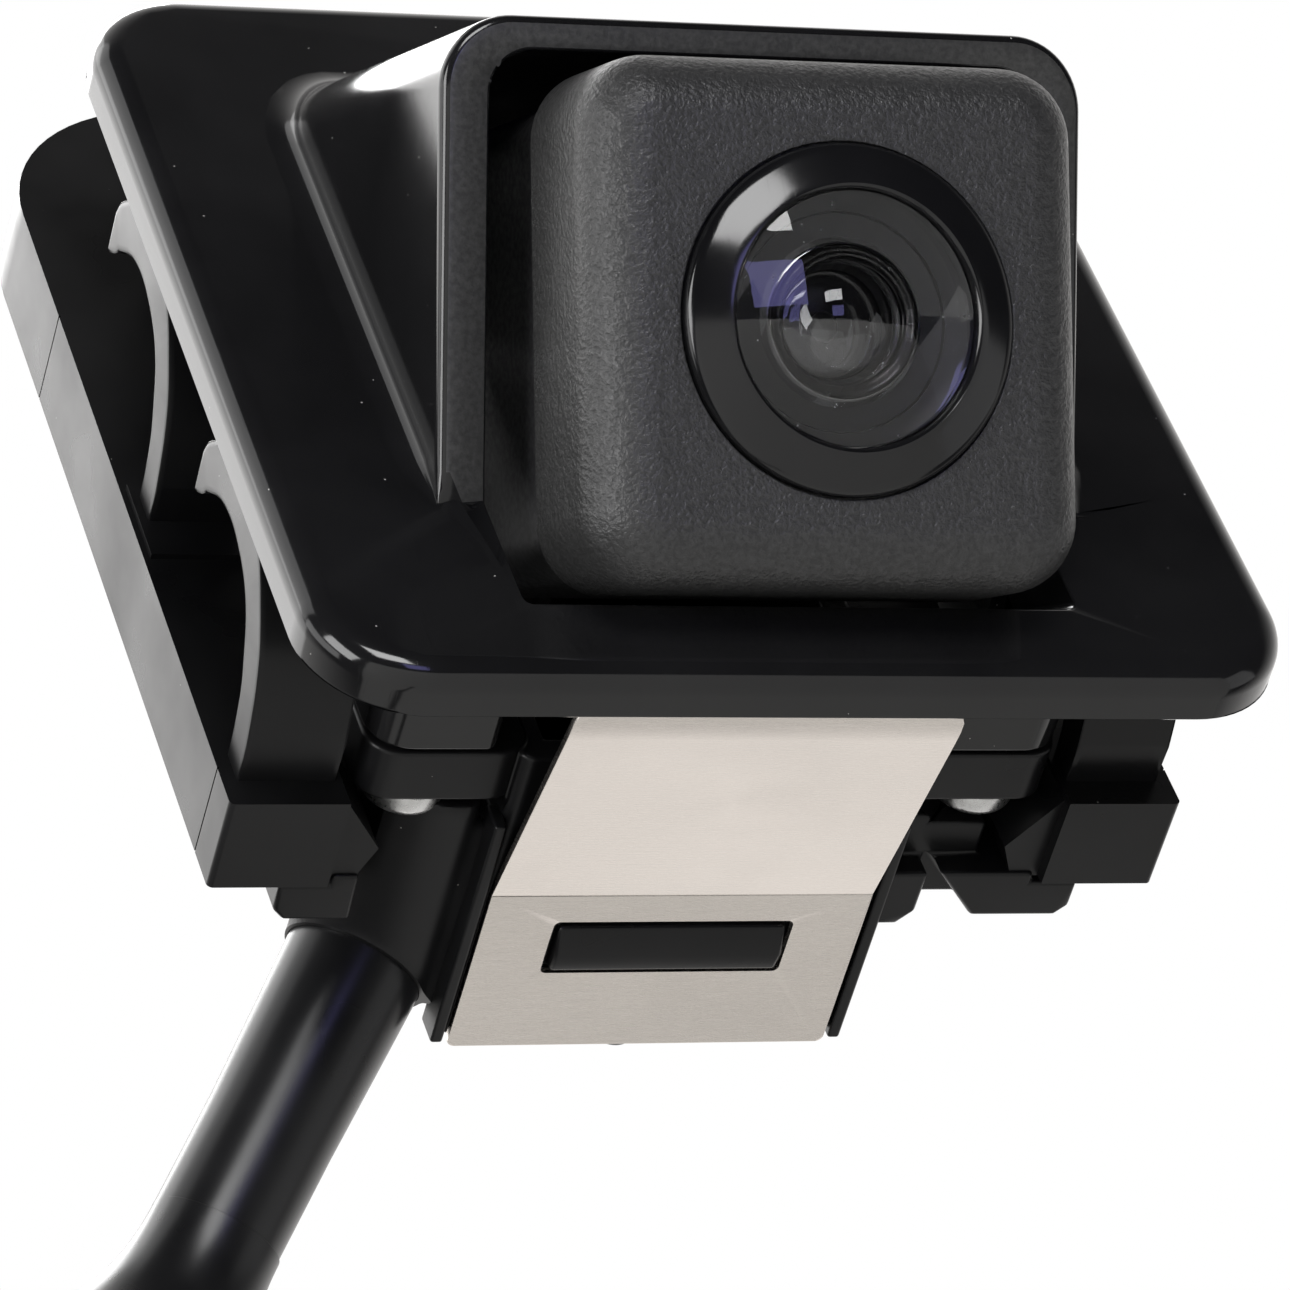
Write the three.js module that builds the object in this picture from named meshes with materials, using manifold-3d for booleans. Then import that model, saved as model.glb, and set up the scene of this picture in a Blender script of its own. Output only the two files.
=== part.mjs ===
// Flush-mount backup camera for a truck or trailer: a trim plate with an angled hood, a square camera
// module that looks out of it, a rear frame with sprung arches, a carrier with a steel spring clip, and
// a sleeved cable with a sealed connector.
//
// Millimetres. X runs to the right across the plate, Y runs backwards into the vehicle, Z runs up the
// plate. The origin is the centre of the plate's rear face, which lies on the vehicle's panel.

import * as THREE from 'three';
import { mergeVertices } from 'three/addons/utils/BufferGeometryUtils.js';
import Module from 'manifold-3d';

const wasm = await Module();
wasm.setup();

// ---------------------------------------------------------------- driving dimensions

const GAP = 0.3;                     // clearance between neighbouring pieces
const PLATE = { width: 47, height: 50, thick: 2.6, corner: 5.2, edge: 1.3 };

const TILT = THREE.MathUtils.degToRad(46);   // optical axis below the plate's normal
const FACE_CENTRE = new THREE.Vector3(0, -15.15, -15.76);
const MODULE = { side: 23.5, corner: 3.3, edge: 2.8, cap: 8.2, rear: 21.5, depth: 22, wall: 1.5 };

const OPENING = { half: 13.25, top: 12.75, bottom: -12.2 };     // across the optical axis
const HOOD = { half: 15.55, top: 14.3, corner: 3.4, rimTop: 8.6, rimTilt: THREE.MathUtils.degToRad(4.3) };

const BOSS = { inner: 11, outer: 17, length: 8.6, lower: [-17.3, -12.6], upper: [19.2, 23.8] };
const EAR = { front: 8.75, back: 11.6 };
const EAR_SCREW = { x: 14.1, lower: -15, upper: 21.5, shank: 1.0, head: 2.1, hole: 1.3, pilot: 1.25 };
const DRIVER_RADIUS = 2.6;           // room for a screwdriver and a screw's head

const FRAME = { half: 23.4, rail: 5.7, front: 10.9, back: 15.9, bottom: -18.3, top: 34, corner: 9 };
const FRAME_SCREW = { x: 10, z: 30.4, shank: 0.8, head: 1.9, hole: 1.2, pilot: 0.95 };
const WINDOW_HEAD = 6.8;             // height of the frame's bar over its window
const ARCH = { near: 18.0, far: 22.7, roots: [14.0, -3.9] };   // across X, and the heights of the two pads

const LOWER_HEAD_ROOM = 13.7;        // where the room behind a lower ear screw's head ends
const CARRIER = { half: 9.8, front: 8.9, back: 26, bottom: -17.5, top: 14, wall: 1.5 };
const FLANGE = { half: 17.4, front: 13.2, back: 16, bottom: -16.5, top: 26.6 };
const TAB = { front: 16.2, back: 18.3, bottom: -17.9 };

const CLIP = { half: 9.48, thick: 0.4, bottom: -18.0, bend: 16.75, back: 26.2, leaf: 14.4 };
const CLIP_FLARE = THREE.MathUtils.degToRad(12.4);
const CLIP_WINDOW = { half: 5.95, front: 18.45, back: 21.6 };

const PAD = { thick: 1.2 };          // foam behind the module
const LENS = { ring: 7.8, glass: 5.6, back: 1.65, barrel: 6.0 };

const SENSOR_BOARD = { front: 14.5, back: 15.5 };
const BOARD_SCREW = { x: 6.05, shank: 0.45, head: 0.95, hole: 0.65 };

const LEAD = { radius: 1.9 };
const CABLE = { radius: 3.15 };
const EXIT = new THREE.Vector3(-13.4, 24, -14.3);
const EXIT_DIRECTION = new THREE.Vector3(-0.52, 0.48, -0.70).normalize();
const OUTLET_END = 0.4;              // where the carrier's outlet ends, along the cable
// The cable's centre line, 220 mm long: straight out through its grommet, then down under its own weight.
const ROUTE = [
  [-11.6, 22.3, -11.8],
  [-13.4, 24.0, -14.3],
  [-18.3, 28.5, -20.9],
  [-23.2, 33.0, -27.4],
  [-28.0, 37.5, -34.0],
  [-30.3, 39.6, -37.6],
  [-32.1, 41.3, -41.6],
  [-33.5, 42.5, -46.0],
  [-34.3, 43.2, -50.6],
  [-34.6, 43.5, -55.3],
  [-34.6, 43.5, -73.6],
  [-34.6, 43.5, -91.9],
  [-34.6, 43.5, -110.2],
  [-34.6, 43.5, -128.5],
  [-34.6, 43.5, -146.8],
  [-34.6, 43.5, -165.1],
  [-34.6, 43.5, -183.4],
  [-34.6, 43.5, -201.7],
  [-34.6, 43.5, -220.0],
];
const GROMMET = { start: 15, length: 12, collar: 8.2 };

const SHELL = { width: 17, depth: 11, height: 24, wall: 1.6, mouth: 13 };
const TERMINALS = [-4.5, -1.5, 1.5, 4.5];
const LATCH = { half: 3.4, pivot: -10 };

// ---------------------------------------------------------------- materials

const finish = (color, roughness, metalness = 0) => ({ color, roughness, metalness });
const FINISH = {
  gloss: finish(0x0c0c0d, 0.22),
  satin: finish(0x161617, 0.42),
  grained: finish(0x1d1d1e, 0.6),
  rubber: finish(0x101011, 0.75),
  foam: finish(0x232325, 0.95),
  steel: finish(0xc9c7c3, 0.3, 1),
  zinc: finish(0xd2d3d6, 0.32, 1),
  glass: finish(0x8fa0c8, 0.05),
  anodised: finish(0x0b0b0c, 0.35, 0.4),
  board: finish(0x15492c, 0.5),
  ceramic: finish(0x3a3a40, 0.4),
  nylon: finish(0xd8d4c6, 0.55),
  brass: finish(0xc9a356, 0.35, 1),
  sleeve: finish(0x0d0d0e, 0.5),
};

// ---------------------------------------------------------------- solids

function toSolid(geometry) {
  let bare = geometry.index ? geometry.toNonIndexed() : geometry.clone();
  for (const name of Object.keys(bare.attributes)) {
    if (name !== 'position') bare.deleteAttribute(name);
  }
  bare = mergeVertices(bare, 1e-4);
  const build = (order) => new wasm.Manifold(new wasm.Mesh({
    numProp: 3,
    vertProperties: new Float32Array(bare.attributes.position.array),
    triVerts: new Uint32Array(order),
  }));
  const order = Array.from(bare.index.array);
  const solid = build(order);
  return solid.volume() > 0 ? solid : build(order.reverse());
}

function toGeometry(solid) {
  const mesh = solid.getMesh();
  const geometry = new THREE.BufferGeometry();
  geometry.setAttribute('position', new THREE.BufferAttribute(mesh.vertProperties, 3));
  geometry.setIndex(new THREE.BufferAttribute(mesh.triVerts, 1));
  return geometry;
}

// The two ends of a stretch that is mirrored to the left when side is -1, in rising order.
const mirrored = (side, near, far) => [side * near, side * far].sort((first, second) => first - second);

const join = (first, ...others) => others.reduce((sum, other) => sum.add(other), first);
const cut = (first, ...others) => others.reduce((rest, other) => rest.subtract(other), first);

function block([x0, x1], [y0, y1], [z0, z1]) {
  const geometry = new THREE.BoxGeometry(x1 - x0, y1 - y0, z1 - z0);
  geometry.translate((x0 + x1) / 2, (y0 + y1) / 2, (z0 + z1) / 2);
  return toSolid(geometry);
}

function roundedRectangle([x0, x1], [y0, y1], radii) {
  const [lowerLeft, lowerRight, upperRight, upperLeft] = Array.isArray(radii) ? radii : Array(4).fill(radii);
  const shape = new THREE.Shape();
  shape.moveTo(x0 + lowerLeft, y0);
  shape.lineTo(x1 - lowerRight, y0);
  shape.absarc(x1 - lowerRight, y0 + lowerRight, lowerRight, -Math.PI / 2, 0);
  shape.lineTo(x1, y1 - upperRight);
  shape.absarc(x1 - upperRight, y1 - upperRight, upperRight, 0, Math.PI / 2);
  shape.lineTo(x0 + upperLeft, y1);
  shape.absarc(x0 + upperLeft, y1 - upperLeft, upperLeft, Math.PI / 2, Math.PI);
  shape.lineTo(x0, y0 + lowerLeft);
  shape.absarc(x0 + lowerLeft, y0 + lowerLeft, lowerLeft, Math.PI, 1.5 * Math.PI);
  return shape;
}

function polygon(points) {
  return new THREE.Shape(points.map(([x, y]) => new THREE.Vector2(x, y)));
}

// A shape drawn in X and Z, pushed along Y.
function prismY(shape, [y0, y1], options = {}) {
  const settings = { depth: y1 - y0, bevelEnabled: false, curveSegments: 4, ...options };
  const geometry = new THREE.ExtrudeGeometry(shape, settings);
  geometry.rotateX(Math.PI / 2);
  geometry.translate(0, y1, 0);
  return toSolid(geometry);
}

// A shape drawn in Y and Z, pushed along X.
function prismX(shape, [x0, x1], options = {}) {
  const settings = { depth: x1 - x0, bevelEnabled: false, curveSegments: 4, ...options };
  const geometry = new THREE.ExtrudeGeometry(shape, settings);
  const axes = new THREE.Matrix4().makeBasis(
    new THREE.Vector3(0, 1, 0), new THREE.Vector3(0, 0, 1), new THREE.Vector3(1, 0, 0));
  geometry.applyMatrix4(axes);
  geometry.translate(x0, 0, 0);
  return toSolid(geometry);
}

// A shape drawn in X and Y, pushed along Z.
function prismZ(shape, [z0, z1]) {
  const geometry = new THREE.ExtrudeGeometry(shape, { depth: z1 - z0, bevelEnabled: false, curveSegments: 4 });
  geometry.translate(0, 0, z0);
  return toSolid(geometry);
}

// A profile of [radius, y] pairs turned about the Y axis and set at x, z.
function turned(profile, x = 0, z = 0, segments = 28) {
  const points = profile.map(([radius, y]) => new THREE.Vector2(radius, y));
  const geometry = new THREE.LatheGeometry(points, segments);
  geometry.translate(x, 0, z);
  return toSolid(geometry);
}

function pinY(radius, [y0, y1], x = 0, z = 0, segments = 12) {
  return turned([[0, y0], [radius, y0], [radius, y1], [0, y1]], x, z, segments);
}

function tubeY(outer, inner, [y0, y1], x = 0, z = 0, segments = 28) {
  return turned([[inner, y0], [outer, y0], [outer, y1], [inner, y1], [inner, y0]], x, z, segments);
}

// A round bar between two distances along the cable's exit line.
function alongExit(radius, from, to, segments = 20) {
  const geometry = new THREE.CylinderGeometry(radius, radius, to - from, segments);
  const turn = new THREE.Quaternion().setFromUnitVectors(new THREE.Vector3(0, 1, 0), EXIT_DIRECTION);
  geometry.translate(0, (from + to) / 2, 0);
  geometry.applyQuaternion(turn);
  geometry.translate(...EXIT.toArray());
  return toSolid(geometry);
}

// ---------------------------------------------------------------- scene graph

const camera = new THREE.Group();
const opticalGroup = new THREE.Group();
opticalGroup.position.copy(FACE_CENTRE);
opticalGroup.rotation.x = TILT;
camera.add(opticalGroup);
opticalGroup.updateMatrix();

function addPiece(name, shape, finishName, group = camera) {
  const geometry = shape.isBufferGeometry ? shape : toGeometry(shape);
  const mesh = new THREE.Mesh(geometry, new THREE.MeshStandardMaterial(FINISH[finishName]));
  mesh.name = name;
  group.add(mesh);
  return mesh;
}

// A solid drawn in the optical group's own axes, moved to the plate's axes.
function fromOptical(solid) {
  const geometry = toGeometry(solid);
  geometry.applyMatrix4(opticalGroup.matrix);
  return toSolid(geometry);
}

// ---------------------------------------------------------------- trim plate and hood

// Height and depth in the plate's axes of a point given by depth behind the module's face and height on it.
function opticalPoint(depth, height) {
  const y = FACE_CENTRE.y + depth * Math.cos(TILT) - height * Math.sin(TILT);
  const z = FACE_CENTRE.z + depth * Math.sin(TILT) + height * Math.cos(TILT);
  return [y, z];
}

function rimDepth(height) {
  return HOOD.rimTop + (HOOD.top - height) * Math.tan(HOOD.rimTilt);
}

function makeTrimPlate() {
  const half = PLATE.width / 2;
  const outline = roundedRectangle([-half, half], [-PLATE.height / 2, PLATE.height / 2], PLATE.corner);
  const bevel = {
    bevelEnabled: true, bevelThickness: PLATE.edge, bevelSize: PLATE.edge,
    bevelOffset: -PLATE.edge, bevelSegments: 4,
  };
  const thickSlab = prismY(outline, [PLATE.edge - PLATE.thick, PLATE.thick], bevel);
  const slab = cut(thickSlab, block([-40, 40], [0, 20], [-40, 40]));

  const wedge = polygon([
    opticalPoint(rimDepth(HOOD.top + 2), HOOD.top + 2),
    opticalPoint(rimDepth(-9.8), -9.8),
    [-0.6, -15.4],
    [-0.6, 30],
  ]);
  const tunnel = prismY(
    roundedRectangle([-HOOD.half, HOOD.half], [-30, HOOD.top], [1, 1, HOOD.corner, HOOD.corner]), [2, 60]);
  const hood = prismX(wedge, [-HOOD.half - 1, HOOD.half + 1]).intersect(fromOptical(tunnel))
    .intersect(block([-40, 40], [-40, -0.6], [-19, 30]));

  const window = fromOptical(prismY(
    roundedRectangle([-OPENING.half, OPENING.half], [OPENING.bottom, OPENING.top], [0.4, 0.4, 2, 2]), [-20, 70]));

  let plate = cut(join(slab, hood), window);
  for (const side of [-1, 1]) {
    for (const level of ['lower', 'upper']) {
      const xs = mirrored(side, BOSS.inner, BOSS.outer);
      const corner = level === 'lower' ? [side < 0 ? 2 : 0.5, side > 0 ? 2 : 0.5, 0.5, 0.5] : 1;
      const boss = prismY(roundedRectangle(xs, BOSS[level], corner), [-0.6, BOSS.length]);
      const pilot = pinY(EAR_SCREW.pilot, [2, BOSS.length + 1], side * EAR_SCREW.x, EAR_SCREW[level]);
      const bossRoom = window.intersect(block([-40, 40], [-5, 0], [-40, 40]));
      plate = cut(join(plate, cut(boss, bossRoom)), pilot);
    }
  }
  return plate;
}

// ---------------------------------------------------------------- rear frame

// One sprung arch in Y and Z: a pad behind the plate, a tooth at its top, and a leg curving to the frame.
function archShape(root) {
  const shape = new THREE.Shape();
  const at = (y, z) => new THREE.Vector2(y, root + z);
  shape.moveTo(GAP, root - 1.2);
  shape.splineThru([at(1.3, -0.4), at(2.2, 0.55), at(3.0, 0.9)]);
  shape.lineTo(5.2, root + 0.85);
  shape.quadraticCurveTo(4.6, root - 0.5, 4.1, root - 0.65);
  shape.splineThru([at(3.1, -2.4), at(2.8, -4.3), at(3.1, -6.1), at(3.7, -7.6), at(4.7, -8.8), at(6.3, -9.8)]);
  shape.splineThru([at(7.6, -10.4), at(9.4, -10.8), at(FRAME.front + 1, -11.0)]);
  shape.lineTo(FRAME.front + 1, root - 12.8);
  shape.lineTo(8.8, root - 12.8);
  shape.splineThru([at(7.3, -12.5), at(5.9, -12.1), at(4.4, -11.4), at(2.9, -10.2), at(1.6, -8.9), at(GAP, -7.0)]);
  shape.closePath();
  return shape;
}

function makeRearFrame() {
  const { half, rail, front, back, bottom, top, corner } = FRAME;
  const outline = roundedRectangle([-half, half], [bottom, top], [0.3, 0.3, corner, corner]);
  const window = block([rail - half, half - rail], [front - 1, back + 1], [bottom - 1, top - WINDOW_HEAD]);
  let frame = cut(prismY(outline, [front, back]), window);
  for (const side of [-1, 1]) {
    const xs = mirrored(side, half - rail, half);
    for (const root of ARCH.roots) {
      frame = join(frame, prismX(archShape(root), mirrored(side, ARCH.near, ARCH.far), { curveSegments: 3 }));
    }
    const seat = block([xs[0] + 0.3, xs[1] - 0.3], [front - GAP, front + 1], [-1.2, 3.9]);
    const inner = side * (half - rail);
    const lug = prismZ(polygon([
      [inner + side, front + 0.3],
      [inner, front + 0.3],
      [inner - side * 2.2, front + 3.2],
      [inner - side * 1.4, back],
      [inner + side, back],
    ]), [bottom + 0.6, bottom + 5]);
    const pilot = pinY(FRAME_SCREW.pilot, [front + 1, back + 1], side * FRAME_SCREW.x, FRAME_SCREW.z);
    frame = cut(join(frame, seat, lug), pilot);
  }
  return frame;
}

// ---------------------------------------------------------------- carrier

// A gusset in Y and Z that fills the corner between the carrier's front and the tilted back of the module.
function cradleShape() {
  const behindPad = MODULE.depth + PAD.thick + 0.7;
  return polygon([
    [CARRIER.front + 1, -6.2],
    opticalPoint(behindPad, -8.6),
    opticalPoint(behindPad, 6.5),
    [CARRIER.front + 1, 12],
  ]);
}

function makeCarrier() {
  const { half, front, back, bottom, top, wall } = CARRIER;
  const shell = prismY(roundedRectangle([-half, half], [bottom, top], 0.8), [front, back]);
  const room = block([wall - half, half - wall], [front - 1, back - wall], [bottom + wall, top - wall]);
  const flange = prismY(
    roundedRectangle([-FLANGE.half, FLANGE.half], [FLANGE.bottom, FLANGE.top], 2), [FLANGE.front, FLANGE.back]);
  // The outlet's round end, carried forward to the flange as an oblique boss.
  const rim = new THREE.Shape();
  rim.absellipse(-13.6, -14.6, 3.7, 1.8, 0, 2 * Math.PI, false, -0.64);
  const boss = prismY(rim, [12.2, 30], { curveSegments: 14 });
  const outlet = cut(join(boss, alongExit(3.7, -9, OUTLET_END)), alongExit(12, OUTLET_END, 14));
  let body = join(shell, flange, outlet);
  for (const side of [-1, 1]) {
    const span = (near, far) => mirrored(side, near, far);
    const lowerEarShape = roundedRectangle(span(half - 0.6, BOSS.outer), BOSS.lower, [1.6, 1.6, 0.5, 0.5]);
    const lowerEar = prismY(lowerEarShape, [EAR.front, EAR.back]);
    const upperEarShape = roundedRectangle(span(BOSS.inner, BOSS.outer), BOSS.upper, 1);
    const upperEar = prismY(upperEarShape, [EAR.front, EAR.back]);
    const post = block(span(BOSS.inner, BOSS.inner + 1.2), [EAR.back - 0.5, FLANGE.front + 0.5], BOSS.upper);
    const tabInner = side < 0 ? [16, 16.1] : [14.9, 12.6];
    const tab = prismZ(polygon([
      [side * 19.8, FLANGE.back - 0.4],
      [side * 19.8, TAB.back - 0.6],
      [side * 19.2, TAB.back],
      [side * tabInner[0], TAB.back],
      [side * tabInner[1], FLANGE.back - 0.4],
    ]), [TAB.bottom, -10]);
    const lugRoom = block(span(14.9, 25), [FRAME.front - 0.5, TAB.front], [-20, -12.9]);
    const tabClear = block(span(FLANGE.half, 25), [FLANGE.front - 1, TAB.front], [-20, 40]);
    const cheek = prismZ(polygon([
      [side * (half - 0.1), FLANGE.back - 0.4],
      [side * (half - 0.1), TAB.back + 0.5],
      [side * (half + 1.4), TAB.back + 0.5],
      [side * (half + 2.2), TAB.back - 0.3],
      [side * (half + 2.2), FLANGE.back - 0.4],
    ]), [TAB.bottom, -14]);
    const rail = block(span(half - 0.1, half + 0.5), [FLANGE.front - 2.7, back], [CLIP.bottom, bottom + 1.2]);
    const hook = block(span(6, 13), [FLANGE.back - 0.4, TAB.back], [23, 33]);
    const hookClear = block(span(5, 14), [FLANGE.back - 1, TAB.front], [FLANGE.top, 40]);
    const cradle = prismX(cradleShape(), span(6, half - 1));
    const behindFrame = cut(join(tab, hook), tabClear, hookClear, lugRoom);
    body = join(cut(body, lugRoom), lowerEar, upperEar, post, behindFrame, cheek, rail, cradle);
  }
  const lockTab = prismX(polygon([
    [CLIP_WINDOW.front + GAP, bottom + 0.5],
    [CLIP_WINDOW.front + GAP, bottom - 0.5],
    [CLIP_WINDOW.front + 1.7, bottom - 0.95],
    [CLIP_WINDOW.back - GAP, bottom - 0.75],
    [CLIP_WINDOW.back - GAP, bottom + 0.5],
  ]), [GAP - CLIP_WINDOW.half, CLIP_WINDOW.half - GAP]);
  const nub = pinY(1.4, [back - 0.5, back + 0.4], -0.5, bottom + 1.45);
  body = cut(join(body, lockTab, nub), room, alongExit(CABLE.radius + GAP, -15, 2));
  for (const side of [-1, 1]) {
    for (const level of ['lower', 'upper']) {
      const x = side * EAR_SCREW.x;
      const z = EAR_SCREW[level];
      const driverEnd = level === 'lower' ? LOWER_HEAD_ROOM : FLANGE.back + 4;
      const hole = pinY(EAR_SCREW.hole, [EAR.front - 1, EAR.back + 1], x, z);
      body = cut(body, hole, pinY(DRIVER_RADIUS, [EAR.back, driverEnd], x, z));
    }
    const frameHole = pinY(FRAME_SCREW.hole, [FLANGE.back, TAB.back + 1], side * FRAME_SCREW.x, FRAME_SCREW.z);
    body = cut(body, frameHole);
  }
  return body;
}

// ---------------------------------------------------------------- screws

// A cross-slotted pan-head screw whose head stands towards +Y on the given face.
function makeScrew({ x, z, face, shank, head, length, rise }) {
  const body = turned([
    [0, face - length],
    [shank * 0.6, face - length],
    [shank, face - length + shank * 0.7],
    [shank, face + 0.03],
    [head, face + 0.03],
    [head, face + rise * 0.55],
    [head * 0.7, face + rise],
    [0, face + rise],
  ], x, z, 10);
  const slot = rise * 0.55;
  const arm = head * 0.62;
  const blade = 0.22 * head;
  const depths = [face + rise - slot, face + rise + 1];
  const across = block([x - arm, x + arm], depths, [z - blade, z + blade]);
  const upright = block([x - blade, x + blade], depths, [z - arm, z + arm]);
  return cut(body, across, upright);
}

// ---------------------------------------------------------------- spring clip

function makeClipBase() {
  const { half, thick, bottom, bend, back } = CLIP;
  const outline = roundedRectangle([-half, half], [bend + GAP, back], [0, 0, 0.7, 0.7]);
  const window = roundedRectangle(
    [-CLIP_WINDOW.half, CLIP_WINDOW.half], [CLIP_WINDOW.front, CLIP_WINDOW.back], 0.3);
  outline.holes.push(window);
  return prismZ(outline, [bottom, bottom + thick]);
}

function makeClipLeaf() {
  const { half, leaf, thick } = CLIP;
  const sheet = prismZ(roundedRectangle([-half, half], [-leaf, 0], [1.5, 1.5, 0, 0]), [-thick / 2, thick / 2]);
  const curl = block([1.2 - half, half - 1.2], [-leaf - 0.5, 0.6 - leaf], [0, 0.8]);
  return join(sheet, curl);
}

// ---------------------------------------------------------------- camera module, in its own axes

// The module's own axes: X to the right, Y back along the optical axis, Z up its face; origin on the face.
const square = (side, corner) => roundedRectangle([-side / 2, side / 2], [-side / 2, side / 2], corner);
const CORNERS = [[-1, -1], [1, -1], [1, 1], [-1, 1]];
const COLUMN = 8.6;                  // distance of the housing screws from the optical axis, each way

function makeFrontHousing() {
  const { side, corner, edge, cap, wall } = MODULE;
  const bevel = {
    bevelEnabled: true, bevelThickness: edge, bevelSize: edge, bevelOffset: -edge, bevelSegments: 5,
  };
  const longCap = prismY(square(side, corner), [edge, cap + 1], bevel);
  const behindCap = block([-20, 20], [cap, 20], [-20, 20]);
  const cavity = prismY(square(side - 2 * wall, 1.8), [2.2, cap + 1]);
  let housing = cut(longCap, behindCap, cavity, pinY(7.05, [-1, 3], 0, 0, 32));
  for (const [sx, sz] of CORNERS) {
    const post = pinY(1.9, [2, cap], sx * COLUMN, sz * COLUMN, 10);
    const pilot = pinY(0.95, [3, cap + 1], sx * COLUMN, sz * COLUMN, 10);
    housing = cut(join(housing, post), pilot);
  }
  return housing;
}

function makeRearHousing() {
  const { rear, depth, wall, cap } = MODULE;
  const start = cap + 0.8;
  const outer = prismY(square(rear, 2), [start, depth]);
  const cavity = prismY(square(rear - 2 * wall, 1), [start - 1, depth - wall]);
  let housing = cut(outer, cavity);
  for (const [sx, sz] of CORNERS) {
    const column = pinY(1.6, [start, depth - 0.5], sx * COLUMN, sz * COLUMN, 10);
    const hole = pinY(0.95, [start - 1, depth + 1], sx * COLUMN, sz * COLUMN, 10);
    housing = cut(join(housing, column), hole);
  }
  return cut(housing, pinY(LEAD.radius + GAP, [depth - 3, depth + 1]));
}

// The foam block between the module's back and the carrier's cradle.
function makeModulePad() {
  const outline = roundedRectangle([-8.6, 8.6], [-6.4, 4.4], 1);
  const pad = prismY(outline, [MODULE.depth + GAP / 2, MODULE.depth + PAD.thick]);
  return cut(pad, pinY(LEAD.radius + 0.6, [0, 30]));
}

function makeHousingSeal() {
  const { rear, cap } = MODULE;
  const outline = square(rear - 0.3, 1.9);
  outline.holes.push(square(rear - 2.6, 1));
  return prismY(outline, [cap + 0.08, cap + 0.72]);
}

function makeHousingScrew([sx, sz]) {
  return makeScrew({
    x: sx * COLUMN, z: sz * COLUMN, face: MODULE.depth, shank: 0.75, head: 1.55, length: 18, rise: 1.1,
  });
}

function makeLensFrontRing() {
  const { ring } = LENS;
  return turned([
    [5.78, -0.75], [5.95, -1.15], [6.2, -1.15], [ring - 0.35, -0.6], [ring, -0.35], [ring, -0.08],
    [6.9, -0.08], [6.9, 1.7], [6.1, 1.7], [6.1, -0.55], [5.78, -0.55], [5.78, -0.75],
  ], 0, 0, 36);
}

function makeLensBarrel() {
  return turned([
    [5.68, -0.4], [LENS.barrel, -0.4], [LENS.barrel, 11.5], [4.3, 11.5], [4.3, 9.6], [4.6, 9.6], [4.6, 1.8],
    [5.68, 1.8], [5.68, -0.4],
  ], 0, 0, 32);
}

function makeFrontLens() {
  const dome = [];
  const steps = 5;
  for (let i = 0; i <= steps; i += 1) {
    const radius = LENS.glass * i / steps;
    dome.push([radius, 0.95 * (radius / LENS.glass) ** 2 - 1.75]);
  }
  const hollow = [];
  for (let i = 0; i <= steps; i += 1) {
    const angle = Math.PI / 2 * i / steps;
    hollow.push([3.3 * Math.cos(angle), LENS.back - 2.2 * Math.sin(angle)]);
  }
  return turned([...dome, [LENS.glass, LENS.back], ...hollow], 0, 0, 28);
}

function makeRoundLens(radius, front, back, frontBulge, backBulge) {
  const steps = 3;
  const profile = [];
  for (let i = 0; i <= steps; i += 1) {
    const r = radius * i / steps;
    profile.push([r, front - frontBulge * (1 - (r / radius) ** 2)]);
  }
  for (let i = steps; i >= 0; i -= 1) {
    const r = radius * i / steps;
    profile.push([r, back + backBulge * (1 - (r / radius) ** 2)]);
  }
  return turned(profile, 0, 0, 24);
}

function makeSealRing() {
  const centre = 6.68;
  const thick = 0.5;
  const profile = [];
  for (let i = 0; i <= 8; i += 1) {
    const angle = 2 * Math.PI * i / 8;
    profile.push([centre + thick * Math.cos(angle), 2.75 + thick * Math.sin(angle)]);
  }
  return turned(profile, 0, 0, 24);
}

function makeLensHolder() {
  const outer = prismY(square(14, 1), [6.5, 14.2]);
  const bore = pinY(LENS.barrel + 0.15, [6, 11.8], 0, 0, 32);
  const chamber = block([-4.6, 4.6], [11.5, 15], [-4.6, 4.6]);
  let holder = cut(outer, bore, chamber);
  for (const side of [-1, 1]) {
    holder = cut(holder, pinY(BOARD_SCREW.hole, [9.5, 15], side * BOARD_SCREW.x, side * BOARD_SCREW.x));
  }
  return holder;
}

function makeBoard(front, back) {
  return prismY(square(14.4, 0.6), [front, back]);
}

function makeSensorBoard() {
  const { front, back } = SENSOR_BOARD;
  const { x, hole } = BOARD_SCREW;
  const holes = [-1, 1].map((side) => pinY(hole, [front - 1, back + 1], side * x, side * x));
  return cut(makeBoard(front, back), ...holes);
}

// ---------------------------------------------------------------- leads and cable

// A bar of round section swept along a curve.
function swept(curve, radius, sides, steps) {
  const section = new THREE.Shape();
  for (let i = 0; i < sides; i += 1) {
    const angle = 2 * Math.PI * i / sides;
    const x = radius * Math.cos(angle);
    const y = radius * Math.sin(angle);
    if (i === 0) section.moveTo(x, y);
    else section.lineTo(x, y);
  }
  section.closePath();
  return toSolid(new THREE.ExtrudeGeometry(section, { steps, bevelEnabled: false, extrudePath: curve }));
}

// The short lead from the back of the module to the carrier's outlet.
function makeInnerLead() {
  const start = new THREE.Vector3(0, ...opticalPoint(MODULE.depth - MODULE.wall - 0.1, 0));
  const back = new THREE.Vector3(0, Math.cos(TILT), Math.sin(TILT));
  const end = EXIT.clone().addScaledVector(EXIT_DIRECTION, -4.4);
  const curve = new THREE.CubicBezierCurve3(
    start, start.clone().addScaledVector(back, 12), end.clone().addScaledVector(EXIT_DIRECTION, -15), end);
  return swept(curve, LEAD.radius, 8, 14);
}

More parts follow.
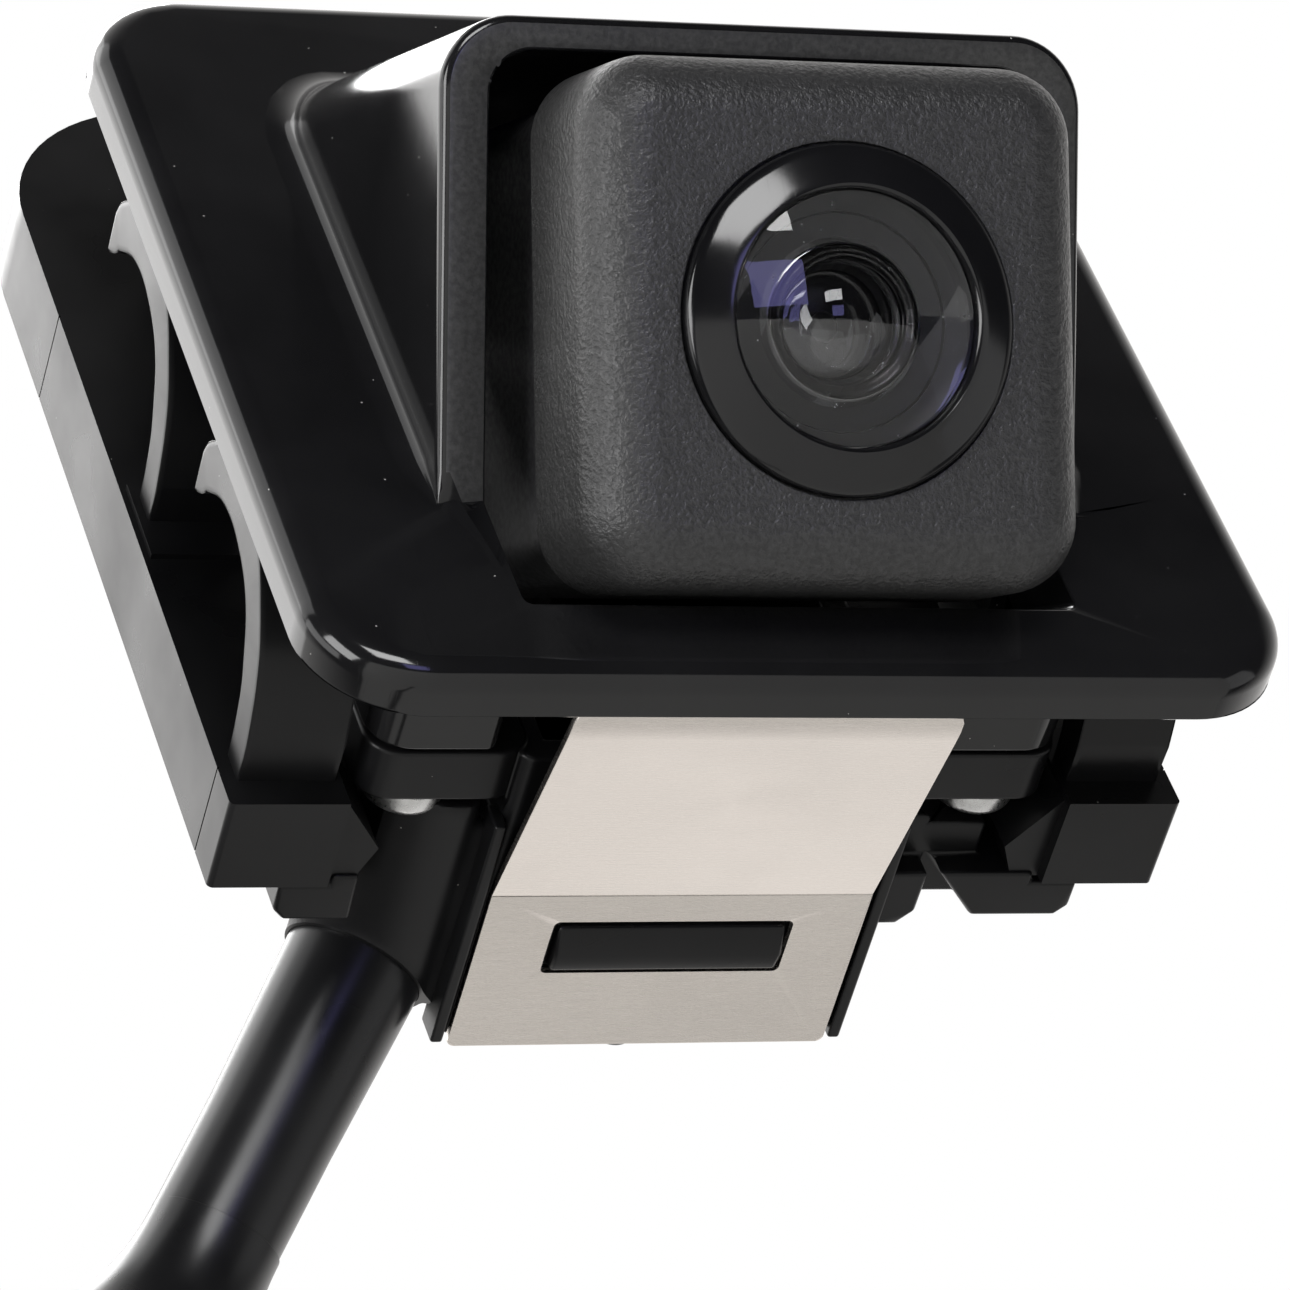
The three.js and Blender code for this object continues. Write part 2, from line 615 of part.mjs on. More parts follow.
function cableCurve() {
  return new THREE.CatmullRomCurve3(ROUTE.map((point) => new THREE.Vector3(...point)), false, 'centripetal');
}

function makeGrommet() {
  const inner = CABLE.radius + GAP;
  const { start, length, collar } = GROMMET;
  const geometry = new THREE.LatheGeometry([
    [inner, 0], [inner + 0.35, 0], [inner + 0.7, length * 0.3], [inner + 1.6, length * 0.62],
    [collar - 1, length * 0.7], [collar, length * 0.75], [collar, length * 0.92],
    [collar - 0.6, length], [inner, length], [inner, 0],
  ].map(([radius, y]) => new THREE.Vector2(radius, y)), 28);
  const turn = new THREE.Quaternion().setFromUnitVectors(new THREE.Vector3(0, 1, 0), EXIT_DIRECTION);
  geometry.applyQuaternion(turn);
  geometry.translate(...EXIT.clone().addScaledVector(EXIT_DIRECTION, start).toArray());
  return toSolid(geometry);
}

// ---------------------------------------------------------------- connector at the cable's end

// The connector's own axes: origin where the cable ends, Z up along the cable.
function makeConnectorShell() {
  const { width, depth, height, wall, mouth } = SHELL;
  const outline = roundedRectangle([-width / 2, width / 2], [-depth / 2, depth / 2], 1.4);
  const body = prismZ(outline, [-height, -1.5]);
  const neck = new THREE.CylinderGeometry(4.9, 4.9, 7, 28);
  neck.rotateX(Math.PI / 2);
  neck.translate(0, 0, 0.5);
  const mouthShape = roundedRectangle(
    [wall - width / 2, width / 2 - wall], [wall - depth / 2, depth / 2 - wall], 0.8);
  const opening = prismZ(mouthShape, [-height - 1, mouth - height]);
  const sealBore = new THREE.CylinderGeometry(4.1, 4.1, 6, 28);
  sealBore.rotateX(Math.PI / 2);
  sealBore.translate(0, 0, 1.5);
  let shell = cut(join(body, toSolid(neck)), opening, toSolid(sealBore));
  for (const x of TERMINALS) shell = cut(shell, block([x - 0.65, x + 0.65], [-0.65, 0.65], [-height, -1]));
  for (const side of [-1, 1]) {
    const xs = mirrored(side, LATCH.half + GAP, LATCH.half + 1.6);
    const post = block(xs, [depth / 2 - 0.5, depth / 2 + 3], [LATCH.pivot - 2, LATCH.pivot + 2]);
    shell = join(shell, post);
  }
  return shell;
}

// A rocking lever on the connector's back: a finger pad above its pivot and a catch below it.
function makeConnectorLatch() {
  const y = SHELL.depth / 2 + 0.5;
  return prismX(polygon([
    [y, LATCH.pivot - 1], [y + 0.1, LATCH.pivot + 0.8], [y + 0.9, LATCH.pivot + 2.2], [y + 1.3, LATCH.pivot + 7.5],
    [y + 2.6, LATCH.pivot + 8], [y + 3, LATCH.pivot + 7], [y + 2, LATCH.pivot + 1.5], [y + 1.6, LATCH.pivot - 8],
    [y + 0.9, LATCH.pivot - 10], [y, LATCH.pivot - 9.2],
  ]), [-LATCH.half, LATCH.half]);
}

function makeTerminal(x) {
  const bladeEnd = 5.6 - SHELL.height;
  return block([x - 0.4, x + 0.4], [-0.4, 0.4], [bladeEnd, -2.2]);
}

function makeWireSeal() {
  const geometry = new THREE.LatheGeometry([
    [CABLE.radius + GAP, -1.3], [3.9, -1.3], [3.9, 3.6], [CABLE.radius + GAP, 3.6], [CABLE.radius + GAP, -1.3],
  ].map(([radius, y]) => new THREE.Vector2(radius, y)), 28);
  geometry.rotateX(Math.PI / 2);
  return toSolid(geometry);
}

function makeTerminalLock() {
  const { width, wall, height, mouth } = SHELL;
  const floor = mouth - height;
  const half = width / 2 - wall - 0.4;
  let lock = block([-half, half], [-3, 3], [floor - 2.6, floor - 0.2]);
  for (const x of TERMINALS) lock = cut(lock, block([x - 0.7, x + 0.7], [-0.7, 0.7], [-height, 0]));
  return lock;
}

// ---------------------------------------------------------------- assembly

addPiece('trim_plate', makeTrimPlate(), 'gloss');
addPiece('rear_frame', makeRearFrame(), 'satin');
addPiece('camera_carrier', makeCarrier(), 'satin');
addPiece('clip_base', makeClipBase(), 'steel');

const leafGroup = new THREE.Group();
leafGroup.position.set(0, CLIP.bend, CLIP.bottom + CLIP.thick / 2);
leafGroup.rotation.x = CLIP_FLARE;
camera.add(leafGroup);
addPiece('clip_leaf', makeClipLeaf(), 'steel', leafGroup);

for (const level of ['lower', 'upper']) {
  for (const side of [-1, 1]) {
    const name = `carrier_screw_${level}_${side < 0 ? 'left' : 'right'}`;
    const { x, shank, head } = EAR_SCREW;
    addPiece(name, makeScrew({
      x: side * x, z: EAR_SCREW[level], face: EAR.back, shank, head, length: 8.5, rise: 1.5,
    }), 'zinc');
  }
}
for (const side of [-1, 1]) {
  const { x, z, shank, head } = FRAME_SCREW;
  addPiece(`frame_screw_${side < 0 ? 'left' : 'right'}`, makeScrew({
    x: side * x, z, face: TAB.back, shank, head, length: 6, rise: 1.3,
  }), 'zinc');
}

addPiece('module_pad', makeModulePad(), 'foam', opticalGroup);
addPiece('camera_front_housing', makeFrontHousing(), 'grained', opticalGroup);
addPiece('housing_seal', makeHousingSeal(), 'rubber', opticalGroup);
addPiece('camera_rear_housing', makeRearHousing(), 'satin', opticalGroup);
CORNERS.forEach((cornerSigns, index) => {
  addPiece(`housing_screw_${index + 1}`, makeHousingScrew(cornerSigns), 'zinc', opticalGroup);
});
addPiece('lens_front_ring', makeLensFrontRing(), 'gloss', opticalGroup);
addPiece('lens_barrel', makeLensBarrel(), 'anodised', opticalGroup);
addPiece('lens_seal_ring', makeSealRing(), 'rubber', opticalGroup);
addPiece('front_lens', makeFrontLens(), 'glass', opticalGroup);
addPiece('lens_spacer', tubeY(4.5, 3.5, [1.95, 3.3], 0, 0, 28), 'anodised', opticalGroup);
addPiece('second_lens', makeRoundLens(4.5, 3.4, 4.9, -0.5, 0.2), 'glass', opticalGroup);
addPiece('aperture_stop', tubeY(4.5, 1.0, [5.25, 5.6], 0, 0, 28), 'anodised', opticalGroup);
addPiece('rear_lens', makeRoundLens(4.5, 6.5, 8.3, 0.6, 0.6), 'glass', opticalGroup);
addPiece('infrared_filter', block([-4.2, 4.2], [12.0, 12.5], [-4.2, 4.2]), 'glass', opticalGroup);
addPiece('lens_holder', makeLensHolder(), 'satin', opticalGroup);
addPiece('image_sensor', block([-3.4, 3.4], [13.2, 14.4], [-3, 3]), 'ceramic', opticalGroup);
addPiece('sensor_board', makeSensorBoard(), 'board', opticalGroup);
addPiece('board_connector', block([-4, 4], [15.6, 17.3], [-5.6, -3.6]), 'nylon', opticalGroup);
addPiece('power_board', makeBoard(17.4, 18.4), 'board', opticalGroup);
addPiece('wire_header', block([-3.2, 3.2], [18.5, 20.1], [-2, 2]), 'nylon', opticalGroup);
[-1, 1].forEach((side, index) => {
  const { x, shank, head } = BOARD_SCREW;
  addPiece(`board_screw_${index + 1}`, makeScrew({
    x: side * x, z: side * x, face: SENSOR_BOARD.back, shank, head, length: 5, rise: 0.7,
  }), 'zinc', opticalGroup);
});

const route = cableCurve();
addPiece('inner_lead', makeInnerLead(), 'sleeve');
addPiece('cable', swept(route, CABLE.radius, 10, 34), 'sleeve');
addPiece('cable_grommet', makeGrommet(), 'rubber');

const plugGroup = new THREE.Group();
plugGroup.position.copy(route.getPoint(1));
camera.add(plugGroup);
addPiece('connector_shell', makeConnectorShell(), 'satin', plugGroup);
addPiece('connector_latch', makeConnectorLatch(), 'nylon', plugGroup);
addPiece('wire_seal', makeWireSeal(), 'rubber', plugGroup);
addPiece('terminal_lock', makeTerminalLock(), 'nylon', plugGroup);
TERMINALS.forEach((x, index) => addPiece(`terminal_${index + 1}`, makeTerminal(x), 'brass', plugGroup));

export default camera;
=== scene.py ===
import math

import bmesh
import bpy
from mathutils import Matrix, Vector


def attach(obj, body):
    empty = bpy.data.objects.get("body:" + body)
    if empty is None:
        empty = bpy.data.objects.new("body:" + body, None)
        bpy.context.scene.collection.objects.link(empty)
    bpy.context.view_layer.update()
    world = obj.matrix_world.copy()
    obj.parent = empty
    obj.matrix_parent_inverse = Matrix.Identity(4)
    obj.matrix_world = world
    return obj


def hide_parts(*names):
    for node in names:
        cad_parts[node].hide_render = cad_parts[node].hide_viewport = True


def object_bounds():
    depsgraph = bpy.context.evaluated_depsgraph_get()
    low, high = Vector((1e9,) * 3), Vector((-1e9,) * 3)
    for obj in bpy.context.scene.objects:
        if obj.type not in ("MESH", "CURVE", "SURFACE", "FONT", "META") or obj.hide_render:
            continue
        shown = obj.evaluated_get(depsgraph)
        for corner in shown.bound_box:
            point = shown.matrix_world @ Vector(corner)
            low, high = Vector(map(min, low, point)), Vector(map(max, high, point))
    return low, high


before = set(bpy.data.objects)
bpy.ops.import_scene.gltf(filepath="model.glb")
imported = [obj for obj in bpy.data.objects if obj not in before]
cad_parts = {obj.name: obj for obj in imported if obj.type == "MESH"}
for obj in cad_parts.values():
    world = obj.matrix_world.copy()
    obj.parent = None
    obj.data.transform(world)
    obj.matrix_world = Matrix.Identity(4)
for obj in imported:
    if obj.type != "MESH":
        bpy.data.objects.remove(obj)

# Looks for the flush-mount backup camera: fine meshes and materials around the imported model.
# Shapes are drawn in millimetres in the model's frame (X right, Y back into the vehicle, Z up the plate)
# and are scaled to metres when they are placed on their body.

cad_low, cad_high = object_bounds()

MM = 0.001

# ---------------------------------------------------------------- driving dimensions, in millimetres

PLATE_WIDTH, PLATE_HEIGHT, PLATE_THICK = 47.0, 50.0, 2.6
PLATE_CORNER, PLATE_EDGE = 5.2, 1.3

TILT = math.radians(46)
FACE_CENTRE = Vector((0, -15.15, -15.76))
OPTICAL = Matrix.Translation(FACE_CENTRE) @ Matrix.Rotation(TILT, 4, "X")

OPENING_HALF, OPENING_TOP, OPENING_BOTTOM = 13.25, 12.75, -12.2
HOOD_HALF, HOOD_TOP, HOOD_CORNER = 15.55, 14.3, 3.4
RIM_TOP, RIM_TILT = 8.6, math.radians(4.3)
RIM_STEP = 1.15                      # width of the rim's outer band
HOOD_FOOT = -7.5                     # height on the optical face where the rim meets the plate
HOOD_EDGE, HOOD_FILLET = 0.55, 1.5   # roundings of the rim's outer edge and of the hood's foot
HOOD_DEEP, HOOD_ROOT = 3.6, 1.2      # how far the hood's section reaches inwards and into the plate

MODULE_SIDE, MODULE_CORNER, MODULE_EDGE, MODULE_CAP = 23.5, 3.3, 2.8, 8.2

MODULE_BACK = 22.0 + 1.2 + 0.7       # depth of the cradle: the module, its pad and a gap

BOSS_INNER, BOSS_OUTER, BOSS_LENGTH = 11.0, 17.0, 8.6
BOSS_HEIGHTS = {"lower": (-17.3, -12.6), "upper": (19.2, 23.8)}
EAR_FRONT, EAR_BACK = 8.75, 11.6
EAR_SCREW_X, EAR_SCREW_HEIGHTS = 14.1, {"lower": -15.0, "upper": 21.5}

FRAME_HALF, FRAME_RAIL, FRAME_FRONT, FRAME_BACK = 23.4, 5.7, 10.9, 15.9
FRAME_BOTTOM, FRAME_TOP, FRAME_CORNER, FRAME_HEAD = -18.3, 34.0, 9.0, 6.8
FRAME_SCREW_X, FRAME_SCREW_Z = 10.0, 30.4
ARCH_ROOTS = (14.0, -3.9)
ARCH_NEAR, ARCH_FAR = 18.0, 22.7
FRAME_SEAMS, SEAM_WIDTH, SEAM_DEPTH = (16.9, -15.9), 0.12, 0.1     # parting lines across the rails
GAP = 0.3

CARRIER_HALF, CARRIER_FRONT, CARRIER_BACK = 9.8, 8.9, 26.0
CARRIER_BOTTOM, CARRIER_TOP, CARRIER_WALL = -17.5, 14.0, 1.5
FLANGE_HALF, FLANGE_FRONT, FLANGE_BACK = 17.4, 13.2, 16.0
FLANGE_BOTTOM, FLANGE_TOP = -16.5, 26.6
TAB_FRONT, TAB_BACK, TAB_BOTTOM = 16.2, 18.3, -17.9
TAB_OUTER, TAB_CHAMFER = 19.8, 0.6
TAB_INNER = {-1: (16, 16.1), 1: (14.9, 12.6)}     # the tab's inner side at its back and at its root
LOWER_HEAD_ROOM = 13.7               # where the room behind a lower ear screw ends
WEB_BOTTOM, WEB_TOP = -16.9, -12.0   # the web between the outlet and the carrier's wall
SINK = 0.4                           # how deep a joined shape starts inside its neighbour

CLIP_HALF, CLIP_THICK, CLIP_BOTTOM, CLIP_BEND, CLIP_BACK, CLIP_LEAF = 9.48, 0.4, -18.0, 16.75, 26.2, 14.4
CLIP_FLARE = math.radians(12.4)
WINDOW_HALF, WINDOW_FRONT, WINDOW_BACK = 5.95, 18.45, 21.6

EXIT = Vector((-13.4, 24.0, -14.3))
EXIT_DIRECTION = Vector((-0.52, 0.48, -0.70)).normalized()
OUTLET_END, OUTLET_RADIUS = 0.4, 3.55
BOSS_CENTRE, BOSS_RADII, BOSS_TURN = (-13.6, -14.6), (3.55, 1.75), math.radians(-36.7)
CABLE_RADIUS = 3.15
CABLE_TAPER, TAPER_END = 0.0235, 13.0      # the sleeve narrows over its first stretch

SHELL_WIDTH, SHELL_DEPTH, SHELL_HEIGHT, SHELL_WALL, SHELL_MOUTH = 17.0, 11.0, 24.0, 1.6, 13.0
TERMINALS = (-4.5, -1.5, 1.5, 4.5)
LATCH_HALF, LATCH_PIVOT = 3.4, -10.0

# The cable's centre line, in metres.
ROUTE = [
    (-0.0116, 0.0223, -0.0118),
    (-0.0134, 0.0240, -0.0143),
    (-0.0183, 0.0285, -0.0209),
    (-0.0232, 0.0330, -0.0274),
    (-0.0280, 0.0375, -0.0340),
    (-0.0303, 0.0396, -0.0376),
    (-0.0321, 0.0413, -0.0416),
    (-0.0335, 0.0425, -0.0460),
    (-0.0343, 0.0432, -0.0506),
    (-0.0346, 0.0435, -0.0553),
    (-0.0346, 0.0435, -0.0736),
    (-0.0346, 0.0435, -0.0919),
    (-0.0346, 0.0435, -0.1102),
    (-0.0346, 0.0435, -0.1285),
    (-0.0346, 0.0435, -0.1468),
    (-0.0346, 0.0435, -0.1651),
    (-0.0346, 0.0435, -0.1834),
    (-0.0346, 0.0435, -0.2017),
    (-0.0346, 0.0435, -0.2200),
]
PLUG = Matrix.Translation(Vector(ROUTE[-1]) / MM)


# ---------------------------------------------------------------- camera

def make_camera():
    """The view from the lower left front, through a long lens."""
    data = bpy.data.cameras.new("view_camera")
    data.sensor_width = 36
    data.lens = 204.16
    data.clip_start = 0.01
    data.clip_end = 50
    camera = bpy.data.objects.new("view_camera", data)
    bpy.context.scene.collection.objects.link(camera)
    right = Vector((0.9312, -0.2413, -0.2731))
    down = Vector((0.0074, 0.7619, -0.6477))
    forward = right.cross(down)
    turn = Matrix((right, -down, -forward)).transposed().to_4x4()
    camera.matrix_world = Matrix.Translation((-0.1249, -0.1947, -0.25035)) @ turn
    bpy.context.scene.camera = camera


# ---------------------------------------------------------------- outlines

def arc(centre, radius, start, end, steps):
    """Points on an arc between two angles in degrees, both ends included."""
    angles = [math.radians(start + (end - start) * i / steps) for i in range(steps + 1)]
    return [(centre[0] + radius * math.cos(a), centre[1] + radius * math.sin(a)) for a in angles]


def rounded_rectangle(xs, ys, radii, steps=10):
    """An anticlockwise outline. radii is one radius, or lower left, lower right, upper right, upper left."""
    x0, x1 = xs
    y0, y1 = ys
    if not isinstance(radii, (list, tuple)):
        radii = [radii] * 4
    lower_left, lower_right, upper_right, upper_left = [max(r, 0.02) for r in radii]
    return (
        arc((x1 - lower_right, y0 + lower_right), lower_right, -90, 0, steps)
        + arc((x1 - upper_right, y1 - upper_right), upper_right, 0, 90, steps)
        + arc((x0 + upper_left, y1 - upper_left), upper_left, 90, 180, steps)
        + arc((x0 + lower_left, y0 + lower_left), lower_left, 180, 270, steps)
    )


def square(side, corner, steps=10):
    return rounded_rectangle((-side / 2, side / 2), (-side / 2, side / 2), corner, steps)


def curve_between(start, control, end, steps):
    """A quadratic curve from start to end, both included."""
    return [
        start * (1 - i / steps) ** 2 + control * (2 * i / steps * (1 - i / steps)) + end * (i / steps) ** 2
        for i in range(steps + 1)
    ]


def spline_through(points, steps=5):
    """A uniform Catmull-Rom curve through points, its first point left out."""
    out = []
    last = len(points) - 1
    for i in range(last):
        p0, p1, p2, p3 = (points[max(i - 1, 0)], points[i], points[i + 1], points[min(i + 2, last)])
        for j in range(1, steps + 1):
            t = j / steps
            out.append(tuple(
                0.5 * (2 * p1[k] + (p2[k] - p0[k]) * t + (2 * p0[k] - 5 * p1[k] + 4 * p2[k] - p3[k]) * t * t
                       + (3 * p1[k] - p0[k] - 3 * p2[k] + p3[k]) * t ** 3)
                for k in (0, 1)))
    return out


# ---------------------------------------------------------------- solids

def solid(name, points, faces):
    mesh = bpy.data.meshes.new(name)
    mesh.from_pydata(points, [], faces)
    work = bmesh.new()
    work.from_mesh(mesh)
    bmesh.ops.recalc_face_normals(work, faces=work.faces)
    work.to_mesh(mesh)
    work.free()
    piece = bpy.data.objects.new(name, mesh)
    bpy.context.scene.collection.objects.link(piece)
    return piece


def loft(name, rings, wrap=False):
    """A closed solid through rings of equal length: capped at both ends, or joined end to start."""
    count = len(rings[0])
    points = [point for ring in rings for point in ring]
    levels = len(rings) if wrap else len(rings) - 1
    faces = []
    for level in range(levels):
        here = level * count
        above = (level + 1) % len(rings) * count
        for i in range(count):
            j = (i + 1) % count
            faces.append((here + i, here + j, above + j, above + i))
    if not wrap:
        faces.append(tuple(reversed(range(count))))
        faces.append(tuple(range(len(points) - count, len(points))))
    return solid(name, points, faces)


TO_SPACE = {
    "X": lambda u, v, w: (w, u, v),
    "Y": lambda u, v, w: (u, w, v),
    "Z": lambda u, v, w: (u, v, w),
}


def prism(outline, span, axis):
    """An outline pushed along an axis; it is drawn in the other two, in X, Y, Z order."""
    place = TO_SPACE[axis]
    return loft("prism", [[place(u, v, w) for u, v in outline] for w in span])


def block(xs, ys, zs):
    return prism([(xs[0], ys[0]), (xs[1], ys[0]), (xs[1], ys[1]), (xs[0], ys[1])], zs, "Z")


def turned(profile, x=0, z=0, segments=64, wrap=False, axis="Y"):
    """A profile of (radius, height) pairs turned about an axis through x, z."""
    place = TO_SPACE[axis]
    rings = []
    for radius, height in profile:
        ring = []
        for i in range(segments):
            angle = 2 * math.pi * i / segments
            ring.append(place(x + radius * math.cos(angle), z + radius * math.sin(angle), height))
        rings.append(ring)
    return loft("turned", rings, wrap)


def pin(radius, span, x=0, z=0, segments=32):
    return turned([(radius, span[0]), (radius, span[1])], x, z, segments)


def apply_modifiers(piece):
    graph = bpy.context.evaluated_depsgraph_get()
    mesh = bpy.data.meshes.new_from_object(piece.evaluated_get(graph))
    piece.modifiers.clear()
    old = piece.data
    piece.data = mesh
    bpy.data.meshes.remove(old)
    return piece


def combine(base, others, operation):
    for other in others:
        modifier = base.modifiers.new("combine", "BOOLEAN")
        modifier.operation = operation
        modifier.solver = "MANIFOLD"
        modifier.object = other
        apply_modifiers(base)
        bpy.data.objects.remove(other)
    return base


def join(base, *others):
    return combine(base, others, "UNION")


def cut(base, *others):
    return combine(base, others, "DIFFERENCE")


def moved(piece, matrix):
    piece.data.transform(matrix)
    return piece


def mirrored(side, near, far):
    """The two ends of a stretch, mirrored to the left where side is -1, in rising order."""
    return tuple(sorted((side * near, side * far)))


MAX_ROUND = 1.2                      # the width of an edge's rounding at weight 1
MERGE_DISTANCE = 0.002
SMALLEST_ISLAND = 8                  # faces


def soften(piece, width, segments=3, angle=28, width_at=None):
    """Rounds the edges sharper than angle by width, or by width_at(middle, directions of both faces)."""
    work = bmesh.new()
    work.from_mesh(piece.data)
    bmesh.ops.remove_doubles(work, verts=work.verts, dist=0.004)
    bmesh.ops.dissolve_limit(
        work, angle_limit=math.radians(0.6), use_dissolve_boundaries=False,
        verts=work.verts, edges=work.edges)
    weights = work.edges.layers.float.new("bevel_weight_edge")
    for edge in work.edges:
        if len(edge.link_faces) != 2 or edge.calc_face_angle(0) < math.radians(angle):
            continue
        wanted = width
        if width_at:
            middle = (edge.verts[0].co + edge.verts[1].co) / 2
            chosen = width_at(middle, [face.normal for face in edge.link_faces])
            wanted = width if chosen is None else chosen
        edge[weights] = min(wanted / MAX_ROUND, 1)
    work.to_mesh(piece.data)
    work.free()
    modifier = piece.modifiers.new("round", "BEVEL")
    modifier.limit_method = "WEIGHT"
    modifier.width = MAX_ROUND
    modifier.segments = segments
    modifier.use_clamp_overlap = False
    modifier.loop_slide = True
    apply_modifiers(piece)
    return piece


def drop_slivers(piece):
    """Merges points that stand on each other, splits big faces, and drops flaps that hang on the surface."""
    work = bmesh.new()
    work.from_mesh(piece.data)
    bmesh.ops.remove_doubles(work, verts=work.verts, dist=MERGE_DISTANCE)
    bmesh.ops.dissolve_degenerate(work, dist=MERGE_DISTANCE, edges=work.edges)
    bmesh.ops.triangulate(work, faces=[face for face in work.faces if len(face.verts) > 4])
    bmesh.ops.dissolve_degenerate(work, dist=MERGE_DISTANCE, edges=work.edges)
    waiting = set(work.faces)
    flaps = []
    while waiting:
        island = [waiting.pop()]
        for face in island:
            for edge in face.edges:
                for other in edge.link_faces:
                    if len(edge.link_faces) == 2 and other in waiting:
                        waiting.remove(other)
                        island.append(other)
        if len(island) < SMALLEST_ISLAND:
            flaps += island
    bmesh.ops.delete(work, geom=flaps, context="FACES")
    work.to_mesh(piece.data)
    work.free()


MAIN = "camera_body"
LOOKS = {}


def add_look(make, name, *settings, **constants):
    """Makes a material and keeps it under its name."""
    LOOKS[name] = make(name, *settings, **constants)


def place(piece, name, look, *nodes, body=MAIN, slot=None, weighted=True):
    """Smooths a finished piece, scales it to metres, and puts it on its body in place of its CAD nodes.

    The slot argument is not used.
    """
    piece.name = name
    piece.data.name = name
    drop_slivers(piece)
    piece.data.transform(Matrix.Scale(MM, 4))
    for face in piece.data.polygons:
        face.use_smooth = True
    piece.data.set_sharp_from_angle(angle=math.radians(32))
    if weighted:
        modifier = piece.modifiers.new("normals", "WEIGHTED_NORMAL")
        modifier.keep_sharp = True
        apply_modifiers(piece)
    piece.data.materials.clear()
    piece.data.materials.append(LOOKS[look])
    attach(piece, body)
    slot or look
    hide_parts(*nodes)
    return piece


# ---------------------------------------------------------------- materials

def link(tree, source, output, target, entry):
    tree.links.new(source.outputs[output], target.inputs[entry])


def start_material(name, colour, roughness, metallic=0.0, **constants):
    """A material, its node tree and its shader, with the shader's constants set."""
    material = bpy.data.materials.new(name)
    material.use_nodes = True
    tree = material.node_tree
    shader = tree.nodes["Principled BSDF"]
    shader.inputs["Base Color"].default_value = (*colour, 1)
    shader.inputs["Roughness"].default_value = roughness
    shader.inputs["Metallic"].default_value = metallic
    for key, value in constants.items():
        shader.inputs[key.replace("_", " ")].default_value = value
    return material, tree, shader


def object_coordinates(tree, stretch=(1, 1, 1)):
    """Object coordinates in metres, scaled by stretch."""
    source = tree.nodes.new("ShaderNodeTexCoord")
    mapping = tree.nodes.new("ShaderNodeMapping")
    mapping.inputs["Scale"].default_value = stretch
    link(tree, source, "Object", mapping, "Vector")
    return mapping


def noise(tree, coordinates, scale, detail=3.0, roughness=0.55):
    node = tree.nodes.new("ShaderNodeTexNoise")
    node.inputs["Scale"].default_value = scale
    node.inputs["Detail"].default_value = detail
    node.inputs["Roughness"].default_value = roughness
    link(tree, coordinates, "Vector", node, "Vector")
    return node


def specks(tree, coordinates, scale, size):
    """1 inside small round specks, one in each cell of the pattern, and 0 elsewhere."""
    cells = tree.nodes.new("ShaderNodeTexVoronoi")
    cells.inputs["Scale"].default_value = scale
    link(tree, coordinates, "Vector", cells, "Vector")
    inside = tree.nodes.new("ShaderNodeMath")
    inside.operation = "LESS_THAN"
    inside.inputs[1].default_value = size
    link(tree, cells, "Distance", inside, 0)
    return inside


def remap(tree, source, output, low, high, new_low, new_high):
    node = tree.nodes.new("ShaderNodeMapRange")
    node.inputs["From Min"].default_value = low
    node.inputs["From Max"].default_value = high
    node.inputs["To Min"].default_value = new_low
    node.inputs["To Max"].default_value = new_high
    link(tree, source, output, node, "Value")
    return node


def mix_colours(tree, factor, output, first, second):
    """A mix of two colours by a factor; first may be a node whose Color or Result is taken."""
    node = tree.nodes.new("ShaderNodeMix")
    node.data_type = "RGBA"
    link(tree, factor, output, node, 0)
    if isinstance(first, tuple):
        node.inputs[6].default_value = (*first, 1)
    else:
        tree.links.new(first.outputs[2], node.inputs[6])
    node.inputs[7].default_value = (*second, 1)
    return node


def bump(tree, height, output, distance, strength=1.0, under=None):
    node = tree.nodes.new("ShaderNodeBump")
    node.inputs["Distance"].default_value = distance
    node.inputs["Strength"].default_value = strength
    link(tree, height, output, node, "Height")
    if under:
        link(tree, under, "Normal", node, "Normal")
    return node


def vary_roughness(tree, shader, pattern, low, high, first, second):
    """Moves the roughness from first to second as a noise pattern goes from low to high."""
    link(tree, remap(tree, pattern, "Fac", low, high, first, second), "Result", shader, "Roughness")


def vary_colour(tree, pattern, low, high, first, second):
    """A mix from first to second as a noise pattern goes from low to high."""
    return mix_colours(tree, remap(tree, pattern, "Fac", low, high, 0, 1), "Result", first, second)


def finish(tree, shader, colour, relief):
    """Joins the last colour and relief nodes to the shader."""
    if colour:
        tree.links.new(colour.outputs[2], shader.inputs["Base Color"])
    link(tree, relief, "Normal", shader, "Normal")


def scaled(colour, factor, lift=0.0):
    return tuple(channel * factor + lift for channel in colour)


DUST_COLOUR = (0.42, 0.41, 0.39)


def gloss_plastic(name, colour, roughness, dust=0.03, peel=2.5e-6, specular=0.5):
    """Polished moulded plastic: a faint orange peel, hairline scratches, cloudy gloss and a little dust."""
    material, tree, shader = start_material(name, colour, roughness, Specular_IOR_Level=specular, IOR=1.5)
    plain = object_coordinates(tree)
    clouds = noise(tree, plain, 90, 4)
    vary_roughness(tree, shader, clouds, 0.3, 0.7, roughness * 0.75, roughness * 1.45)
    base = vary_colour(tree, clouds, 0.25, 0.75, colour, scaled(colour, 1.7, 0.002))
    dusty = mix_colours(tree, specks(tree, plain, 620, dust), "Value", base, DUST_COLOUR)
    ripple = bump(tree, noise(tree, plain, 420, 2), "Fac", peel)
    lines = noise(tree, object_coordinates(tree, (14000, 500, 260)), 1, 2, 0.7)
    ridge = remap(tree, lines, "Fac", 0.62, 0.75, 0, 1)
    finish(tree, shader, dusty, bump(tree, ridge, "Result", 1.2e-6, 0.6, ripple))
    return material


